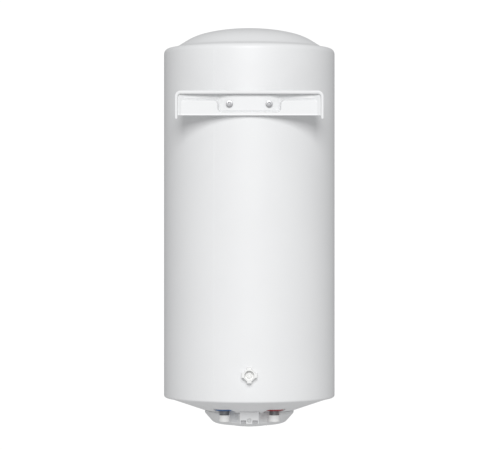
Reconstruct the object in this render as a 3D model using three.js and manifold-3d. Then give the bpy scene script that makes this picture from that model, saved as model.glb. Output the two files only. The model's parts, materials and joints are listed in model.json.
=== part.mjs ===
// A slim wall-hung electric storage water heater of about 50 litres, as an assembly of separate pieces.
// Millimetres, +Z up, +Y towards the wall. The origin lies on the wall plane, at the middle of the
// bracket's top lip, from which the heater hangs.
import * as THREE from "three";
import { mergeVertices } from "three/addons/utils/BufferGeometryUtils.js";
import Module from "manifold-3d";

const wasm = await Module();
wasm.setup();

// ---- Driving dimensions -------------------------------------------------------------------------

// Casing: a rolled steel tube whose ends are turned in over the two end covers.
const casingRadius = 182.5;
const casingHeight = 728; // straight part of the side
const hangDrop = 91.9; // top of the straight part above the bracket's lip
const wallGap = 13; // rearmost line of the casing to the wall
const sheet = 1; // thickness of the casing and of the end covers
const topRoll = 12; // radius of the rolled edge at the top
const bottomRoll = 6.5; // the same at the bottom, where it is also flatter
const bottomRollDrop = 5.4;
const rollSteps = 2; // facets of a rolled edge
const fit = 0.4; // clearance between pieces that touch
const beyond = 60; // how far a cutting shape runs past the piece it cuts
const around = 36; // sides of the large round pieces
const midway = 24; // sides of the flange, the pads and the connections
const small = 16; // sides of the small ones

// Top cover.
const topCreaseInset = 29.2;
const topCreaseRise = 16.5;
const crownRadius = 118;
const crownRise = 38.6;
const domeRadius = 67.6;
const domeRise = 51.2;
const topRise = 56.4;

// Bottom end cap: a shoulder, a shallow cone and a flat ring round the service opening.
const bottomCreaseInset = 25.7;
const bottomCreaseDrop = 11;
const capConeSlope = Math.tan(THREE.MathUtils.degToRad(19));
const capFlatRadius = 96;
const serviceRadius = 74;

// Insulation and inner tank.
const foamWall = 27.5;
const foamTop = 50.3;
const tankWall = 2;
const tankDome = 50;
const domeSteps = 3; // facets from a dome's rim to its pole
const tankClearance = 44.9; // lowest point of the tank above the cap's flat ring

// Water connections: half-inch nipples with coloured rings and push-on transport caps.
const nippleSpacing = 104.4;
const nippleSetback = 92; // from the heater's axis towards the wall
const threadRadius = 10.48;
const nippleBore = 8;
const threadLength = 25;
const padRadius = 24;
const padLift = 5.5; // the pad's face above the cone at the nipple's centre
const ringRadius = 18.85;
const ringThickness = 3;
const capSleeve = 12.1; // length of thread that a transport cap covers
const capRimRadius = 11.3;
const capBellyRadius = 11.9;
const capCrown = 4; // from the belly to the lowest point
const capTravelRoom = 0.32; // clearance of the cap round the thread
const nippleStandOff = 14; // end of the nipple inside the tank, above its dome
const pipeRadius = 7.5;
const pipeWall = 1;
const coldPipeRise = 70; // above the lowest point of the tank
const pipeBite = 6; // lower end of the pipes above the pads
const hotPipeDrop = 36; // below the tank's highest point
const diffuserWall = 2;
const diffuserReach = 9; // of the hood past the collar, and above the pipe's end
const diffuserFall = 3; // of the hood from its middle to its rim
const diffuserGrip = 12; // length of pipe inside the collar
const diffuserSlotLow = 1; // the slots, above the pipe's end
const diffuserSlotHigh = 5.5;
const diffuserSlotWidth = 6;

// Flange that closes the tank from below, and what it carries.
const neckRadius = 56;
const neckWall = 4;
const flangeRadius = 72;
const flangeRim = 4;
const flangeLift = 24.9; // the neck's sealing face above the cap's flat ring
const gasketBore = 46;
const gasketThickness = 3;
const flangePlateThickness = 5;
const studCount = 5;
const studCircle = 64;
const studRadius = 3;
const nutFlats = 10;
const nutHeight = 5;
const elementTube = 4.2;
const elementSpacing = 36;
const elementOffset = 22; // in front of the axis
const elementHeight = 250;
const pocketRadius = 5;
const pocketHeight = 220;
const anodeRadius = 11;
const anodeLength = 260;
const anodeOffset = 28; // behind the axis

// Bottom cover over the electrical parts, with the thermostat dial in a well.
const coverRadius = 95;
const coverBand = 5.7; // height of the upright band
const coverShelfRadius = 77.5;
const coverShelfDrop = 25.4;
const coverFloorRadius = 69;
const coverDepth = 30.5;
const coverWall = 2.2;
const scallopWidth = 30; // half axes of the recess round each nipple
const scallopDepth = 24;
const dialRadius = 42.5;
const dialWellRadius = 44;
const dialWellDepth = 8;
const dialCrown = 5;
const dialRim = 12; // width of the ring outside the finger pockets
const dialGripAngle = 0.3; // half the grip bar, as an angle at the axis
const dialFloor = 2.5;
const shaftRadius = 4;
const coverScrewCircle = 84;
const coverScrewAngle = 60; // from the front
const coverScrewRadius = 2;
const coverScrewBite = 7; // length above the cap's flat ring
const coverScrewWell = 5.5; // radius of the well below the head
const coverScrewSeat = 2; // the well's seat above the upright band's lower edge
const coverScrewHead = 4;
const coverScrewHeadHeight = 2.5;
const lampRadius = 4;
const lampProud = 0.8; // the lamp's face below the cover's floor
const lampHeight = 8.8;
const hatchWidth = 40.4;
const hatchReach = 107; // rear face of the cable hatch, from the axis
const hatchDepth = 21.9; // its lowest edge below the cap's flat ring
const hatchWall = 2.3;
const cableWindow = 7.3; // height of the two cable openings
const hatchTab = 13.4; // width of the screw tab between them
const hatchScrewHead = 3.4;
const hatchScrewHeadHeight = 2;
const hatchScrewSink = 3;
const hatchScrewBite = 6.4; // length inside the cover's skirt
const entryTop = 4; // the cable entries in the cover's skirt, below the cap's flat ring
const entryBottom = 13;
const hatchFront = 15; // front of the hatch behind the dial's well
const grommetThickness = 4;
const grommetSink = 2.5;

// Thermostat.
const thermostatRadius = 25;
const thermostatHeight = 22;
const rodRadius = 3.4;
const resetRadius = 3;
const resetTravel = 2;

// Wiring.
const elementTail = 8; // of the element's ends below the flange plate
const terminalWidth = 30;
const terminalDepth = 14;
const terminalHeight = 14;
const leadRadius = 1.6;
const terminalHole = 2.2;
const terminalHoleDepth = 4;
const terminalGap = 11; // middle of the block behind the dial well's wall

// Wall bracket: a pressed tray, open below, whose lip lies on the wall.
const bracketWidth = 306;
const bracketTop = 3.5;
const bracketBottom = -47.3;
const bracketTabBottom = -55.1;
const bracketCorner = 12;
const bracketSheet = 1.5;
const lipHeight = 7.2;
const sideRim = 6;
const webDepth = 8; // wall plane to the web
const padRaise = 2.5;
const padInner = 68.5;
const padOuter = 140.5;
const padTop = -16.1;
const padBottom = -44.8;
const saddleDepth = 10.6; // wall plane to the centre recess
const saddleHalf = 62;
const saddleBottom = -41.8;
const bracketScrewSpacing = 81.8;
const bracketScrewHeight = -23.5;
const screwHeadRadius = 7;
const screwHeadHeight = 4;
const screwSocket = 2.9; // to the corners of the hexagon
const screwSocketDepth = 2.5;
const screwShank = 4;
const lugRadius = 8;
const lugBore = 24;

// Lower wall spacer.
const spacerRise = 53.5; // its centre above the lower end of the casing's straight side
const spacerSpan = 32;
const spacerLobe = 9.3;
const spacerCore = 26; // across the diamond between the lobes
const spacerBore = 9.75;
const spacerFloor = 2.4;
const spacerScrewHead = 5.5;
const spacerScrewShank = 2.2;
const spacerScrewHeadHeight = 3;

// ---- Places worked out from them ----------------------------------------------------------------

const axisY = -(casingRadius + wallGap);
const bodyTop = hangDrop;
const bodyBottom = bodyTop - casingHeight;
const topCrease = casingRadius - topCreaseInset;
const bottomCrease = casingRadius - bottomCreaseInset;
const creaseZ = bodyBottom - bottomCreaseDrop;
const capFloor = creaseZ - (bottomCrease - capFlatRadius) * capConeSlope;
const tankRadius = casingRadius - sheet - foamWall;
const tankTop = bodyTop + topRise - sheet - foamTop;
const tankBottom = capFloor + tankClearance;
const nippleX = nippleSpacing / 2;
const nippleY = axisY + nippleSetback;
const nippleReach = Math.hypot(nippleX, nippleSetback);
const seatZ = capFloor + (nippleReach - capFlatRadius) * capConeSlope + padLift;
const threadEnd = seatZ - threadLength;
const flangeZ = capFloor + flangeLift;
const plateTop = flangeZ - gasketThickness - 2 * fit;
const plateBottom = plateTop - flangePlateThickness;
const coverTop = capFloor - fit;
const coverFloor = capFloor - coverDepth;
const wellCeiling = coverFloor + dialWellDepth;
const thermostatBottom = wellCeiling + coverWall + resetTravel;
const thermostatTop = thermostatBottom + thermostatHeight;
const spacerDepth = wallGap - fit;
const spacerHeight = bodyBottom + spacerRise;

const hatchLow = capFloor - hatchDepth;
const hatchScrewZ = hatchLow + cableWindow;
const hatchRear = axisY + hatchReach;
const hatchNear = axisY + dialWellRadius + hatchFront;
const coverScrewZ = capFloor - coverBand + coverScrewSeat; // seat of the cover screws' heads

// ---- Shapes -------------------------------------------------------------------------------------

// A closed geometry as a solid that can be joined and cut.
function solid(geometry) {
  const bare = geometry.index ? geometry.toNonIndexed() : geometry.clone();
  bare.deleteAttribute("normal");
  bare.deleteAttribute("uv");
  const merged = mergeVertices(bare, 1e-4);
  const corners = merged.index.array;
  const kept = [];
  for (let i = 0; i < corners.length; i += 3) {
    const [a, b, c] = corners.slice(i, i + 3);
    if (a !== b && b !== c && c !== a) kept.push(a, b, c);
  }
  return new wasm.Manifold(
    new wasm.Mesh({
      numProp: 3,
      vertProperties: merged.attributes.position.array,
      triVerts: new Uint32Array(kept),
    }),
  );
}

// A profile of [radius, height] points turned round the upright line through (x, y).
// The profile runs anticlockwise: up the outside and back down the inside.
function turned(profile, sides, x = 0, y = axisY) {
  const points = profile.map(([r, z]) => new THREE.Vector2(r, z));
  const lathe = new THREE.LatheGeometry(points, sides);
  return solid(lathe.rotateX(Math.PI / 2).translate(x, y, 0));
}

// The same, for a profile that doesn't reach the axis: it closes on itself.
function ringTurned(profile, sides, x = 0, y = axisY) {
  return turned([...profile, profile[0]], sides, x, y);
}

// An upright cylinder between two heights.
function post(radius, low, high, x = 0, y = axisY, sides = small) {
  return turned([[0, low], [radius, low], [radius, high], [0, high]], sides, x, y);
}

// An upright tube between two heights.
function sleeve(bore, radius, low, high, x = 0, y = axisY, sides = small) {
  const profile = [[bore, low], [radius, low], [radius, high], [bore, high]];
  return ringTurned(profile, sides, x, y);
}

// A cylinder that points along Y, between two depths.
function pin(radius, near, far, x, z, sides = small) {
  const shape = new THREE.CylinderGeometry(radius, radius, far - near, sides);
  return solid(shape.translate(x, (near + far) / 2, z));
}

function block(x0, x1, y0, y1, z0, z1) {
  const shape = new THREE.BoxGeometry(x1 - x0, y1 - y0, z1 - z0);
  return solid(shape.translate((x0 + x1) / 2, (y0 + y1) / 2, (z0 + z1) / 2));
}

// An outline in the XZ plane, made thick along Y between two depths.
function upright(outline, near, far, curveSegments = 4) {
  const shape = new THREE.ExtrudeGeometry(outline, {
    depth: far - near,
    bevelEnabled: false,
    curveSegments,
  });
  return solid(shape.rotateX(Math.PI / 2).translate(0, far, 0));
}

// An outline in the XY plane, made thick along Z between two heights.
function level(outline, low, high, curveSegments = 6) {
  const shape = new THREE.ExtrudeGeometry(outline, {
    depth: high - low,
    bevelEnabled: false,
    curveSegments,
  });
  return solid(shape.translate(0, 0, low));
}

// A round rod or lead of the given radius along a smooth line through points.
function rodAlong(points, radius, steps, sides) {
  const path = new THREE.CatmullRomCurve3(points.map((p) => new THREE.Vector3(...p)));
  const section = new THREE.Shape(
    Array.from({ length: sides }, (_, i) => {
      const angle = (i / sides) * 2 * Math.PI;
      return new THREE.Vector2(radius * Math.cos(angle), radius * Math.sin(angle));
    }),
  );
  return solid(
    new THREE.ExtrudeGeometry(section, { steps, extrudePath: path, bevelEnabled: false }),
  );
}

// Points of a quarter ellipse from its side to its end, centre excluded.
function quarter(centreRadius, centreZ, halfWidth, halfHeight, steps, from = 0, to = 90) {
  return Array.from({ length: steps + 1 }, (_, i) => {
    const angle = THREE.MathUtils.degToRad(from + ((to - from) * i) / steps);
    return [
      centreRadius + halfWidth * Math.cos(angle),
      centreZ + halfHeight * Math.sin(angle),
    ];
  });
}

// ---- The assembly -------------------------------------------------------------------------------

const heater = new THREE.Group();

const finishes = {
  enamel: { color: 0xf2f3f4, roughness: 0.32, metalness: 0 },
  plastic: { color: 0xeff0f0, roughness: 0.45, metalness: 0 },
  cap: { color: 0xf6f6f4, roughness: 0.5, metalness: 0 },
  steel: { color: 0x9a9c9e, roughness: 0.35, metalness: 1 },
  tank: { color: 0x3d5a78, roughness: 0.4, metalness: 0.2 },
  foam: { color: 0xe0cf8e, roughness: 0.95, metalness: 0 },
  rubber: { color: 0x26282a, roughness: 0.8, metalness: 0 },
  membrane: { color: 0xcbcbcc, roughness: 0.7, metalness: 0 },
  blue: { color: 0x41669a, roughness: 0.5, metalness: 0 },
  red: { color: 0xa04248, roughness: 0.5, metalness: 0 },
  copper: { color: 0xb4683c, roughness: 0.35, metalness: 1 },
  magnesium: { color: 0xa9a9a4, roughness: 0.7, metalness: 0.8 },
  bakelite: { color: 0x2b2b2d, roughness: 0.5, metalness: 0 },
  lens: { color: 0xc8561e, roughness: 0.15, metalness: 0 },
  earth: { color: 0x8fa63a, roughness: 0.5, metalness: 0 },
};

// Adds one named piece to the heater.
function piece(name, shape, finish) {
  const made = shape.getMesh();
  const geometry = new THREE.BufferGeometry();
  const position = new THREE.BufferAttribute(new Float32Array(made.vertProperties), 3);
  geometry.setAttribute("position", position);
  geometry.setIndex(new THREE.BufferAttribute(new Uint32Array(made.triVerts), 1));
  geometry.computeVertexNormals();
  const mesh = new THREE.Mesh(geometry, new THREE.MeshStandardMaterial(finishes[finish]));
  mesh.name = name;
  heater.add(mesh);
}

// ---- Casing, covers, insulation and tank ---------------------------------------------------------

// The casing's two rolled edges are quarter ellipses, the inner skin inset by the sheet.
function makeCasing() {
  const topCentre = casingRadius - topRoll;
  const bottomCentre = casingRadius - bottomRoll;
  const outerTop = quarter(topCentre, bodyTop, topRoll, topRoll, rollSteps);
  const innerTop = quarter(topCentre, bodyTop, topRoll - sheet, topRoll - sheet, rollSteps);
  const lower = (inset) =>
    quarter(
      bottomCentre,
      bodyBottom,
      bottomRoll - inset,
      bottomRollDrop - inset,
      rollSteps,
      -90,
      0,
    );
  const profile = [...lower(0), ...outerTop, ...innerTop.reverse(), ...lower(sheet).reverse()];
  let casing = ringTurned(profile, around);
  for (const side of [1, -1]) {
    const x = (side * bracketScrewSpacing) / 2;
    casing = casing.subtract(pin(lugRadius + 2 * fit, axisY, 0, x, bracketScrewHeight));
  }
  return casing.subtract(pin(spacerScrewShank + fit, axisY, 0, 0, spacerHeight, 12));
}

// Upper skin of the top cover, from its rim to its middle, as [radius, height].
function topSkin(drop) {
  return [
    [topCrease, bodyTop + topCreaseRise - drop],
    [crownRadius, bodyTop + crownRise - drop],
    [domeRadius, bodyTop + domeRise - drop],
    [0, bodyTop + topRise - drop],
  ];
}

// The top cover's rim tucks under the casing's rolled edge, with a step that brings it flush.
function makeTopCover() {
  const lipRadius = casingRadius - topRoll;
  const rimRadius = lipRadius + topRoll / 3;
  const rimZ = bodyTop + topRoll - 2 * sheet - fit;
  const stepZ = bodyTop + topRoll - fit;
  const outer = [
    [rimRadius, rimZ - 2 * sheet],
    [rimRadius, rimZ - sheet],
    [lipRadius - fit, rimZ + sheet / 2],
    [lipRadius - fit, stepZ],
    ...topSkin(0),
  ];
  const inner = [...topSkin(sheet).reverse(), [lipRadius - fit - sheet, rimZ]];
  return turned([...inner, ...outer], around);
}

// Height of the end cap's lower skin at a radius on its cone.
function coneZ(radius) {
  return capFloor + (radius - capFlatRadius) * capConeSlope;
}

// The solid under the end cap's skin, inset by the sheet for the inner one, with the pads for the
// nipples: proud of the cone on the wall side and let into it on the other.
function capBulk(inset) {
  const lipRadius = casingRadius - bottomRoll;
  const lipZ = bodyBottom - bottomRollDrop;
  const ceiling = bodyBottom + beyond;
  let bulk = turned(
    [
      [0, capFloor + inset],
      [capFlatRadius, capFloor + inset],
      [bottomCrease, creaseZ + inset],
      [lipRadius - fit - inset, lipZ + fit / 2 + inset],
      [lipRadius - fit - inset, ceiling],
      [0, ceiling],
    ],
    around,
  );
  for (const side of [1, -1]) {
    const x = side * nippleX;
    const seat = seatZ + inset;
    bulk = bulk.subtract(post(padRadius + inset, seat - beyond, seat, x, nippleY, midway));
    bulk = bulk.add(post(padRadius - inset, seat, ceiling, x, nippleY, midway));
  }
  return bulk;
}

function makeBottomEndCap() {
  const lipRadius = casingRadius - bottomRoll;
  const rimTop = bodyBottom - bottomRollDrop + 2 * sheet + fit;
  let cap = capBulk(0).subtract(capBulk(sheet));
  const above = post(casingRadius, rimTop + sheet, bodyBottom + 2 * beyond, 0, axisY, around);
  cap = cap.subtract(above);
  const rim = [
    [lipRadius - fit - sheet, rimTop - sheet / 2],
    [lipRadius + bottomRoll / 3, rimTop],
    [lipRadius + bottomRoll / 3, rimTop + sheet],
    [lipRadius - fit - sheet, rimTop + sheet],
  ];
  cap = cap.add(ringTurned(rim, around));
  cap = cap.subtract(post(serviceRadius, capFloor - 5, capFloor + 20, 0, axisY, around));
  for (const side of [1, -1]) {
    cap = cap.subtract(post(threadRadius + fit, seatZ - 20, seatZ + 20, side * nippleX, nippleY));
    const [x, y] = coverScrewPlace(side);
    cap = cap.subtract(post(coverScrewRadius + fit, capFloor - 5, capFloor + 5, x, y, 12));
  }
  return cap;
}

// Profile of the tank's skin, offset outwards, from its opening below to its pole above. The facets'
// corners stand at the same angles for every offset and opening, so that two skins stay parallel.
function tankSkin(offset, opening) {
  const radius = tankRadius + offset;
  const dome = tankDome + offset;
  const upper = quarter(0, tankTop - tankDome, radius, dome, domeSteps);
  upper[domeSteps][0] = 0;
  const full = quarter(0, tankBottom + tankDome, radius, dome, domeSteps, -90, 0);
  const lower = full.filter(([r]) => r > opening + 1);
  const edge = tankBottom + tankDome - dome * Math.sqrt(1 - (opening / radius) ** 2);
  return [[opening, edge], ...lower, ...upper];
}

function makeTank() {
  const opening = neckRadius + fit;
  const outer = tankSkin(0, opening);
  const inner = tankSkin(-tankWall, opening);
  let tank = turned([...outer, ...inner.reverse(), outer[0]], around);
  for (const side of [1, -1]) {
    const x = side * nippleX;
    tank = tank.subtract(post(threadRadius + fit, seatZ, tankBottom + tankDome, x, nippleY));
  }
  return tank;
}

function makeFoam() {
  const skin = casingRadius - sheet - 2 * fit;
  const inner = tankSkin(2 * fit, flangeRadius + 2);
  const under = [
    [flangeRadius + 2, capFloor + sheet + fit],
    [capFlatRadius, capFloor + sheet + 2 * fit],
    [bottomCrease, creaseZ + sheet + 2 * fit],
    [casingRadius - bottomRoll - 2, bodyBottom + fit],
    [skin, bodyBottom + fit],
  ];
  const over = [
    [skin, bodyTop],
    [casingRadius - topRoll - 3, bodyTop + topRoll - 5 * sheet],
    ...topSkin(sheet + 2 * fit),
  ];
  let foam = turned([...under, ...over, ...inner.reverse(), under[0]], around);
  for (const side of [1, -1]) {
    const x = side * nippleX;
    foam = foam.subtract(post(threadRadius + fit, seatZ - 30, tankBottom + tankDome, x, nippleY));
    foam = foam.subtract(
      post(padRadius + sheet + fit, seatZ - beyond, seatZ + sheet + fit, x, nippleY, midway),
    );
    const lug = (side * bracketScrewSpacing) / 2;
    foam = foam.subtract(pin(lugRadius + 2 * fit, axisY, 0, lug, bracketScrewHeight));
  }
  for (const side of [1, -1]) {
    const [x, y] = coverScrewPlace(side);
    foam = foam.subtract(
      post(coverScrewRadius + fit, capFloor - 5, capFloor + coverScrewBite + fit, x, y, 12),
    );
  }
  return foam.subtract(pin(spacerScrewShank + fit, axisY, 0, 0, spacerHeight, 12));
}

piece("casing", makeCasing(), "enamel");
piece("top_cover", makeTopCover(), "enamel");
piece("bottom_end_cap", makeBottomEndCap(), "enamel");
piece("inner_tank", makeTank(), "tank");
piece("foam_jacket", makeFoam(), "foam");

// ---- Water connections ---------------------------------------------------------------------------

// Height of the tank's lower dome over the nipples.
const domeOverNipple =
  tankBottom + tankDome - tankDome * Math.sqrt(1 - (nippleReach / tankRadius) ** 2);

function makeNipple(x) {
  const top = domeOverNipple + nippleStandOff;
  return sleeve(nippleBore, threadRadius, threadEnd, top, x, nippleY, midway);
}

function makeRing(x) {
  const top = seatZ - fit;
  return sleeve(threadRadius + fit, ringRadius, top - ringThickness, top, x, nippleY, midway);
}

// A push-on transport cap: a thin sleeve with a domed end.
function makeTransportCap(x) {
  const bore = threadRadius + capTravelRoom;
  const inside = threadEnd - fit;
  const rim = threadEnd + capSleeve;
  const belly = inside + 0.6;
  return turned(
    [
      [0, belly - capCrown],
      [capBellyRadius / 2, belly - 0.9 * capCrown],
      [capBellyRadius - 1, belly - 0.55 * capCrown],
      [capBellyRadius, belly],
      [capRimRadius, rim],
      [bore, rim],
      [bore, inside],
      [0, inside],
    ],
    midway,
    x,
    nippleY,
  );
}

for (const [name, side, colour] of [["cold", 1, "blue"], ["hot", -1, "red"]]) {
  piece(name + "_nipple", makeNipple(side * nippleX), "steel");
  piece(name + "_ring", makeRing(side * nippleX), colour);
  piece(name + "_cap", makeTransportCap(side * nippleX), "cap");
}

const coldPipeTop = tankBottom + coldPipeRise;
const pipeLow = seatZ + pipeBite;
const pipeBore = pipeRadius - pipeWall;
piece(
  "cold_inlet_pipe",
  sleeve(pipeBore, pipeRadius, pipeLow, coldPipeTop, nippleX, nippleY),
  "steel",
);
piece(
  "hot_outlet_pipe",
  sleeve(pipeBore, pipeRadius, pipeLow, tankTop - hotPipeDrop, -nippleX, nippleY),
  "steel",
);

// The diffuser turns the cold water sideways, so that it doesn't stir the hot water above.
function makeDiffuser() {
  const socket = pipeRadius + fit;
  const rim = socket + diffuserReach;
  const middle = coldPipeTop + diffuserReach;
  const hood = turned(
    [
      [0, middle],
      [rim, middle - diffuserFall],
      [rim, middle - diffuserFall + diffuserWall],
      [0, middle + diffuserWall],
    ],
    small,
    nippleX,
    nippleY,
  );
  const low = coldPipeTop - diffuserGrip;
  const collar = sleeve(socket, socket + diffuserWall, low, middle, nippleX, nippleY);
  const slots = block(
    nippleX - rim,
    nippleX + rim,
    nippleY - diffuserSlotWidth / 2,
    nippleY + diffuserSlotWidth / 2,
    coldPipeTop + diffuserSlotLow,
    coldPipeTop + diffuserSlotHigh,
  );
  return collar.add(hood).subtract(slots);
}

piece("cold_diffuser", makeDiffuser(), "plastic");

// ---- Flange and heating parts --------------------------------------------------------------------

// Places of the flange's studs, on a circle round the axis.
const studPlaces = Array.from({ length: studCount }, (_, i) => {
  const angle = ((i + 0.5) / studCount) * 2 * Math.PI;
  return [studCircle * Math.sin(angle), axisY + studCircle * Math.cos(angle)];
});

// The same shape with a hole for every stud.
function studded(shape) {
  return studPlaces.reduce(
    (left, [x, y]) => left.subtract(post(studRadius + fit, flangeZ - 30, flangeZ + 30, x, y, 12)),
    shape,
  );
}

function makeNeck() {
  const top = tankBottom + 10;
  const bore = neckRadius - neckWall;
  const profile = [
    [bore, flangeZ],
    [flangeRadius, flangeZ],
    [flangeRadius, flangeZ + flangeRim],
    [neckRadius, flangeZ + flangeRim],
    [neckRadius, top],
    [bore, top],
  ];
  return studded(ringTurned(profile, midway));
}

function makeFlangePlate() {
  let plate = studded(post(flangeRadius, plateBottom, plateTop, 0, axisY, midway));
  const holes = [
    [elementTube, elementSpacing / 2, -elementOffset],
    [elementTube, -elementSpacing / 2, -elementOffset],
    [pocketRadius, 0, 0],
    [studRadius, 0, anodeOffset],
  ];
  for (const [radius, x, y] of holes) {
    const hole = post(radius + fit, plateBottom - 5, plateTop + 5, x, axisY + y);
    plate = plate.subtract(hole);
  }
  return plate;
}

function hexNut(x, y, top) {
  const corner = nutFlats / 2 / Math.cos(Math.PI / 6);
  const body = post(corner, top - nutHeight, top, x, y, 6);
  return body.subtract(post(studRadius + fit, top - 20, top + 5, x, y, 12));
}

piece("flange_neck", makeNeck(), "steel");
const gasketTop = flangeZ - fit;
const gasketRing = sleeve(
  gasketBore,
  flangeRadius,
  gasketTop - gasketThickness,
  gasketTop,
  0,
  axisY,
  midway,
);
piece("flange_gasket", studded(gasketRing), "rubber");
piece("flange_plate", makeFlangePlate(), "steel");

const nutTop = plateBottom - fit;
studPlaces.forEach(([x, y], i) => {
  const shank = post(studRadius, nutTop - nutHeight - 3, flangeZ + flangeRim + fit + 1, x, y, 12);
  const headLow = flangeZ + flangeRim + fit;
  const head = post(studRadius + 2, headLow, headLow + 3, x, y, 12);
  piece("flange_stud_" + (i + 1), shank.add(head), "steel");
  piece("flange_nut_" + (i + 1), hexNut(x, y, nutTop), "steel");
});

// The element is a hairpin of sheathed tube; its two ends come out below the flange.
function makeElement() {
  const half = elementSpacing / 2;
  const y = axisY - elementOffset;
  const low = plateBottom - elementTail;
  const top = plateTop + elementHeight;
  const leg = top - half;
  const bend = Array.from({ length: 7 }, (_, i) => {
    const angle = (i / 6) * Math.PI;
    return [half * Math.cos(angle), y, leg + half * Math.sin(angle)];
  });
  const rise = [0, 0.2, 0.5, 0.8].map((share) => [half, y, low + share * (leg - low)]);
  const fall = rise.map(([x, depth, z]) => [-x, depth, z]).reverse();
  return rodAlong([...rise, ...bend, ...fall], elementTube, 32, 8);
}

function makePocket() {
  const top = plateTop + pocketHeight;
  const bore = rodRadius + 2 * fit;
  return turned(
    [
      [0, top - 1],
      [bore, top - 1],
      [bore, nutTop - 2],
      [pocketRadius + 3, nutTop - 2],
      [pocketRadius + 3, nutTop],
      [pocketRadius, nutTop],
      [pocketRadius, top],
      [0, top],
    ],
    small,
  );
}

piece("heating_element", makeElement(), "copper");
piece("thermostat_pocket", makePocket(), "steel");

const anodeLow = plateTop + 12;
const anodeY = axisY + anodeOffset;
const anodeBar = post(anodeRadius, anodeLow, anodeLow + anodeLength, 0, anodeY);
const anodeStud = post(studRadius, nutTop - nutHeight - 3, anodeLow + 1, 0, anodeY, 12);
piece("anode_rod", anodeBar.add(anodeStud), "magnesium");
piece("anode_nut", hexNut(0, anodeY, nutTop), "steel");

// ---- Thermostat, dial and cut-out -----------------------------------------------------------------

const resetX = thermostatRadius * 0.6;

function makeThermostat() {
  const body = post(thermostatRadius, thermostatBottom, thermostatTop, 0, axisY, midway);
  const rod = post(rodRadius, thermostatTop - 1, plateTop + pocketHeight - 10, 0, axisY, 12);
  const shaftHole = post(shaftRadius + fit, thermostatBottom - 5, thermostatBottom + 12);
  const resetHole = post(
    resetRadius + fit,
    thermostatBottom - 5,
    thermostatBottom + 8,
    resetX,
    axisY,
  );
  return body.add(rod).subtract(shaftHole).subtract(resetHole);
}

piece("thermostat_body", makeThermostat(), "bakelite");
piece(
  "reset_button",
  post(
    resetRadius,
    thermostatBottom - resetTravel + fit,
    thermostatBottom + 8 - resetTravel - fit,
    resetX,
    axisY,
  ),
  "red",
);

// The dial: a shallow crown with two finger pockets either side of a grip bar.
function makeDial() {
  const top = wellCeiling - fit;
  const edge = coverFloor - 0.6;
  let dial = turned(
    [
      [0, coverFloor - dialCrown],
      [0.3 * dialRadius, coverFloor - dialCrown + 0.4],
      [0.76 * dialRadius, coverFloor - 0.65 * dialCrown],
      [dialRadius - 0.8, edge - 0.8],
      [dialRadius, edge],
      [dialRadius, top],
      [0, top],
    ],
    around,
  );
  for (const middle of [0, Math.PI]) {
    const pocket = new THREE.Shape();
    const reach = Math.PI / 2 - dialGripAngle;
    pocket.absarc(0, axisY, dialRadius - dialRim, middle - reach, middle + reach, false);
    pocket.closePath();
    dial = dial.subtract(level(pocket, coverFloor - 10, top - dialFloor, 5));
  }
  return dial.subtract(post(shaftRadius + fit, coverFloor - 1, top + 1));
}

piece("thermostat_dial", makeDial(), "plastic");
piece(
  "dial_shaft",
  post(shaftRadius, coverFloor - 1 + fit, thermostatBottom + 12 - fit),
  "steel",
);

// ---- Bottom cover and cable hatch -----------------------------------------------------------------

// Place of a cover screw, on one side of the front.
function coverScrewPlace(side) {
  const angle = THREE.MathUtils.degToRad(coverScrewAngle);
  return [
    side * coverScrewCircle * Math.sin(angle),
    axisY - coverScrewCircle * Math.cos(angle),
  ];
}

// The bulk of the bottom cover, inset by its wall for the hollow. The recesses round the nipples and
// the screw wells keep the same wall.
function coverBulk(inset) {
  const top = coverTop + (inset ? 20 : 0);
  const slope = (coverRadius - coverShelfRadius) / (coverShelfDrop - coverBand);
  let bulk = turned(
    [
      [0, coverFloor + inset],
      [coverFloorRadius, coverFloor + inset],
      [coverShelfRadius - inset * 0.6, capFloor - coverShelfDrop + inset * 0.8],
      [coverRadius - inset, capFloor - coverBand + inset * slope * 0.4],
      [coverRadius - inset, top],
      [0, top],
    ],
    around,
  );
  for (const side of [1, -1]) {
    const recess = new THREE.Shape();
    const width = scallopWidth + inset;
    const depth = scallopDepth + inset;
    recess.absellipse(side * nippleX, nippleY, width, depth, 0, 2 * Math.PI, false, 0);
    bulk = bulk.subtract(level(recess, coverFloor - 5, top + 5, 12));
    const [x, y] = coverScrewPlace(side);
    const seat = coverScrewZ + inset;
    bulk = bulk.subtract(post(coverScrewWell + inset, coverFloor - beyond, seat, x, y));
  }
  bulk = bulk.subtract(
    post(dialWellRadius + inset, coverFloor - 5, wellCeiling + inset, 0, axisY, around),
  );
  return bulk;
}

const lampPlace = [0, axisY - (dialWellRadius + coverFloorRadius) / 2];

function makeBottomCover() {
  let cover = coverBulk(0).subtract(coverBulk(coverWall));
  cover = cover.subtract(post(shaftRadius + 1, coverFloor - 5, thermostatBottom));
  const [lampX, lampY] = lampPlace;
  cover = cover.subtract(
    post(lampRadius + fit, coverFloor - 5, coverFloor + 5, lampX, lampY),
  );
  for (const side of [1, -1]) {
    const [x, y] = coverScrewPlace(side);
    cover = cover.subtract(post(coverScrewRadius + fit, coverFloor, capFloor, x, y, 12));
  }
  for (const side of [1, -1]) {
    const [inner, outer] = windowSpan(side, 0);
    cover = cover.subtract(
      block(inner, outer, hatchNear, hatchRear, capFloor - entryBottom, capFloor - entryTop),
    );
  }
  const tapped = pin(
    coverScrewRadius + fit,
    hatchNear,
    axisY + coverRadius,
    0,
    hatchScrewZ,
    12,
  );
  return cover.subtract(tapped);
}

piece("bottom_cover", makeBottomCover(), "plastic");
const [lampX, lampY] = lampPlace;
const lampLow = coverFloor - lampProud;
piece("power_lamp", post(lampRadius, lampLow, lampLow + lampHeight, lampX, lampY), "lens");

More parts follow.
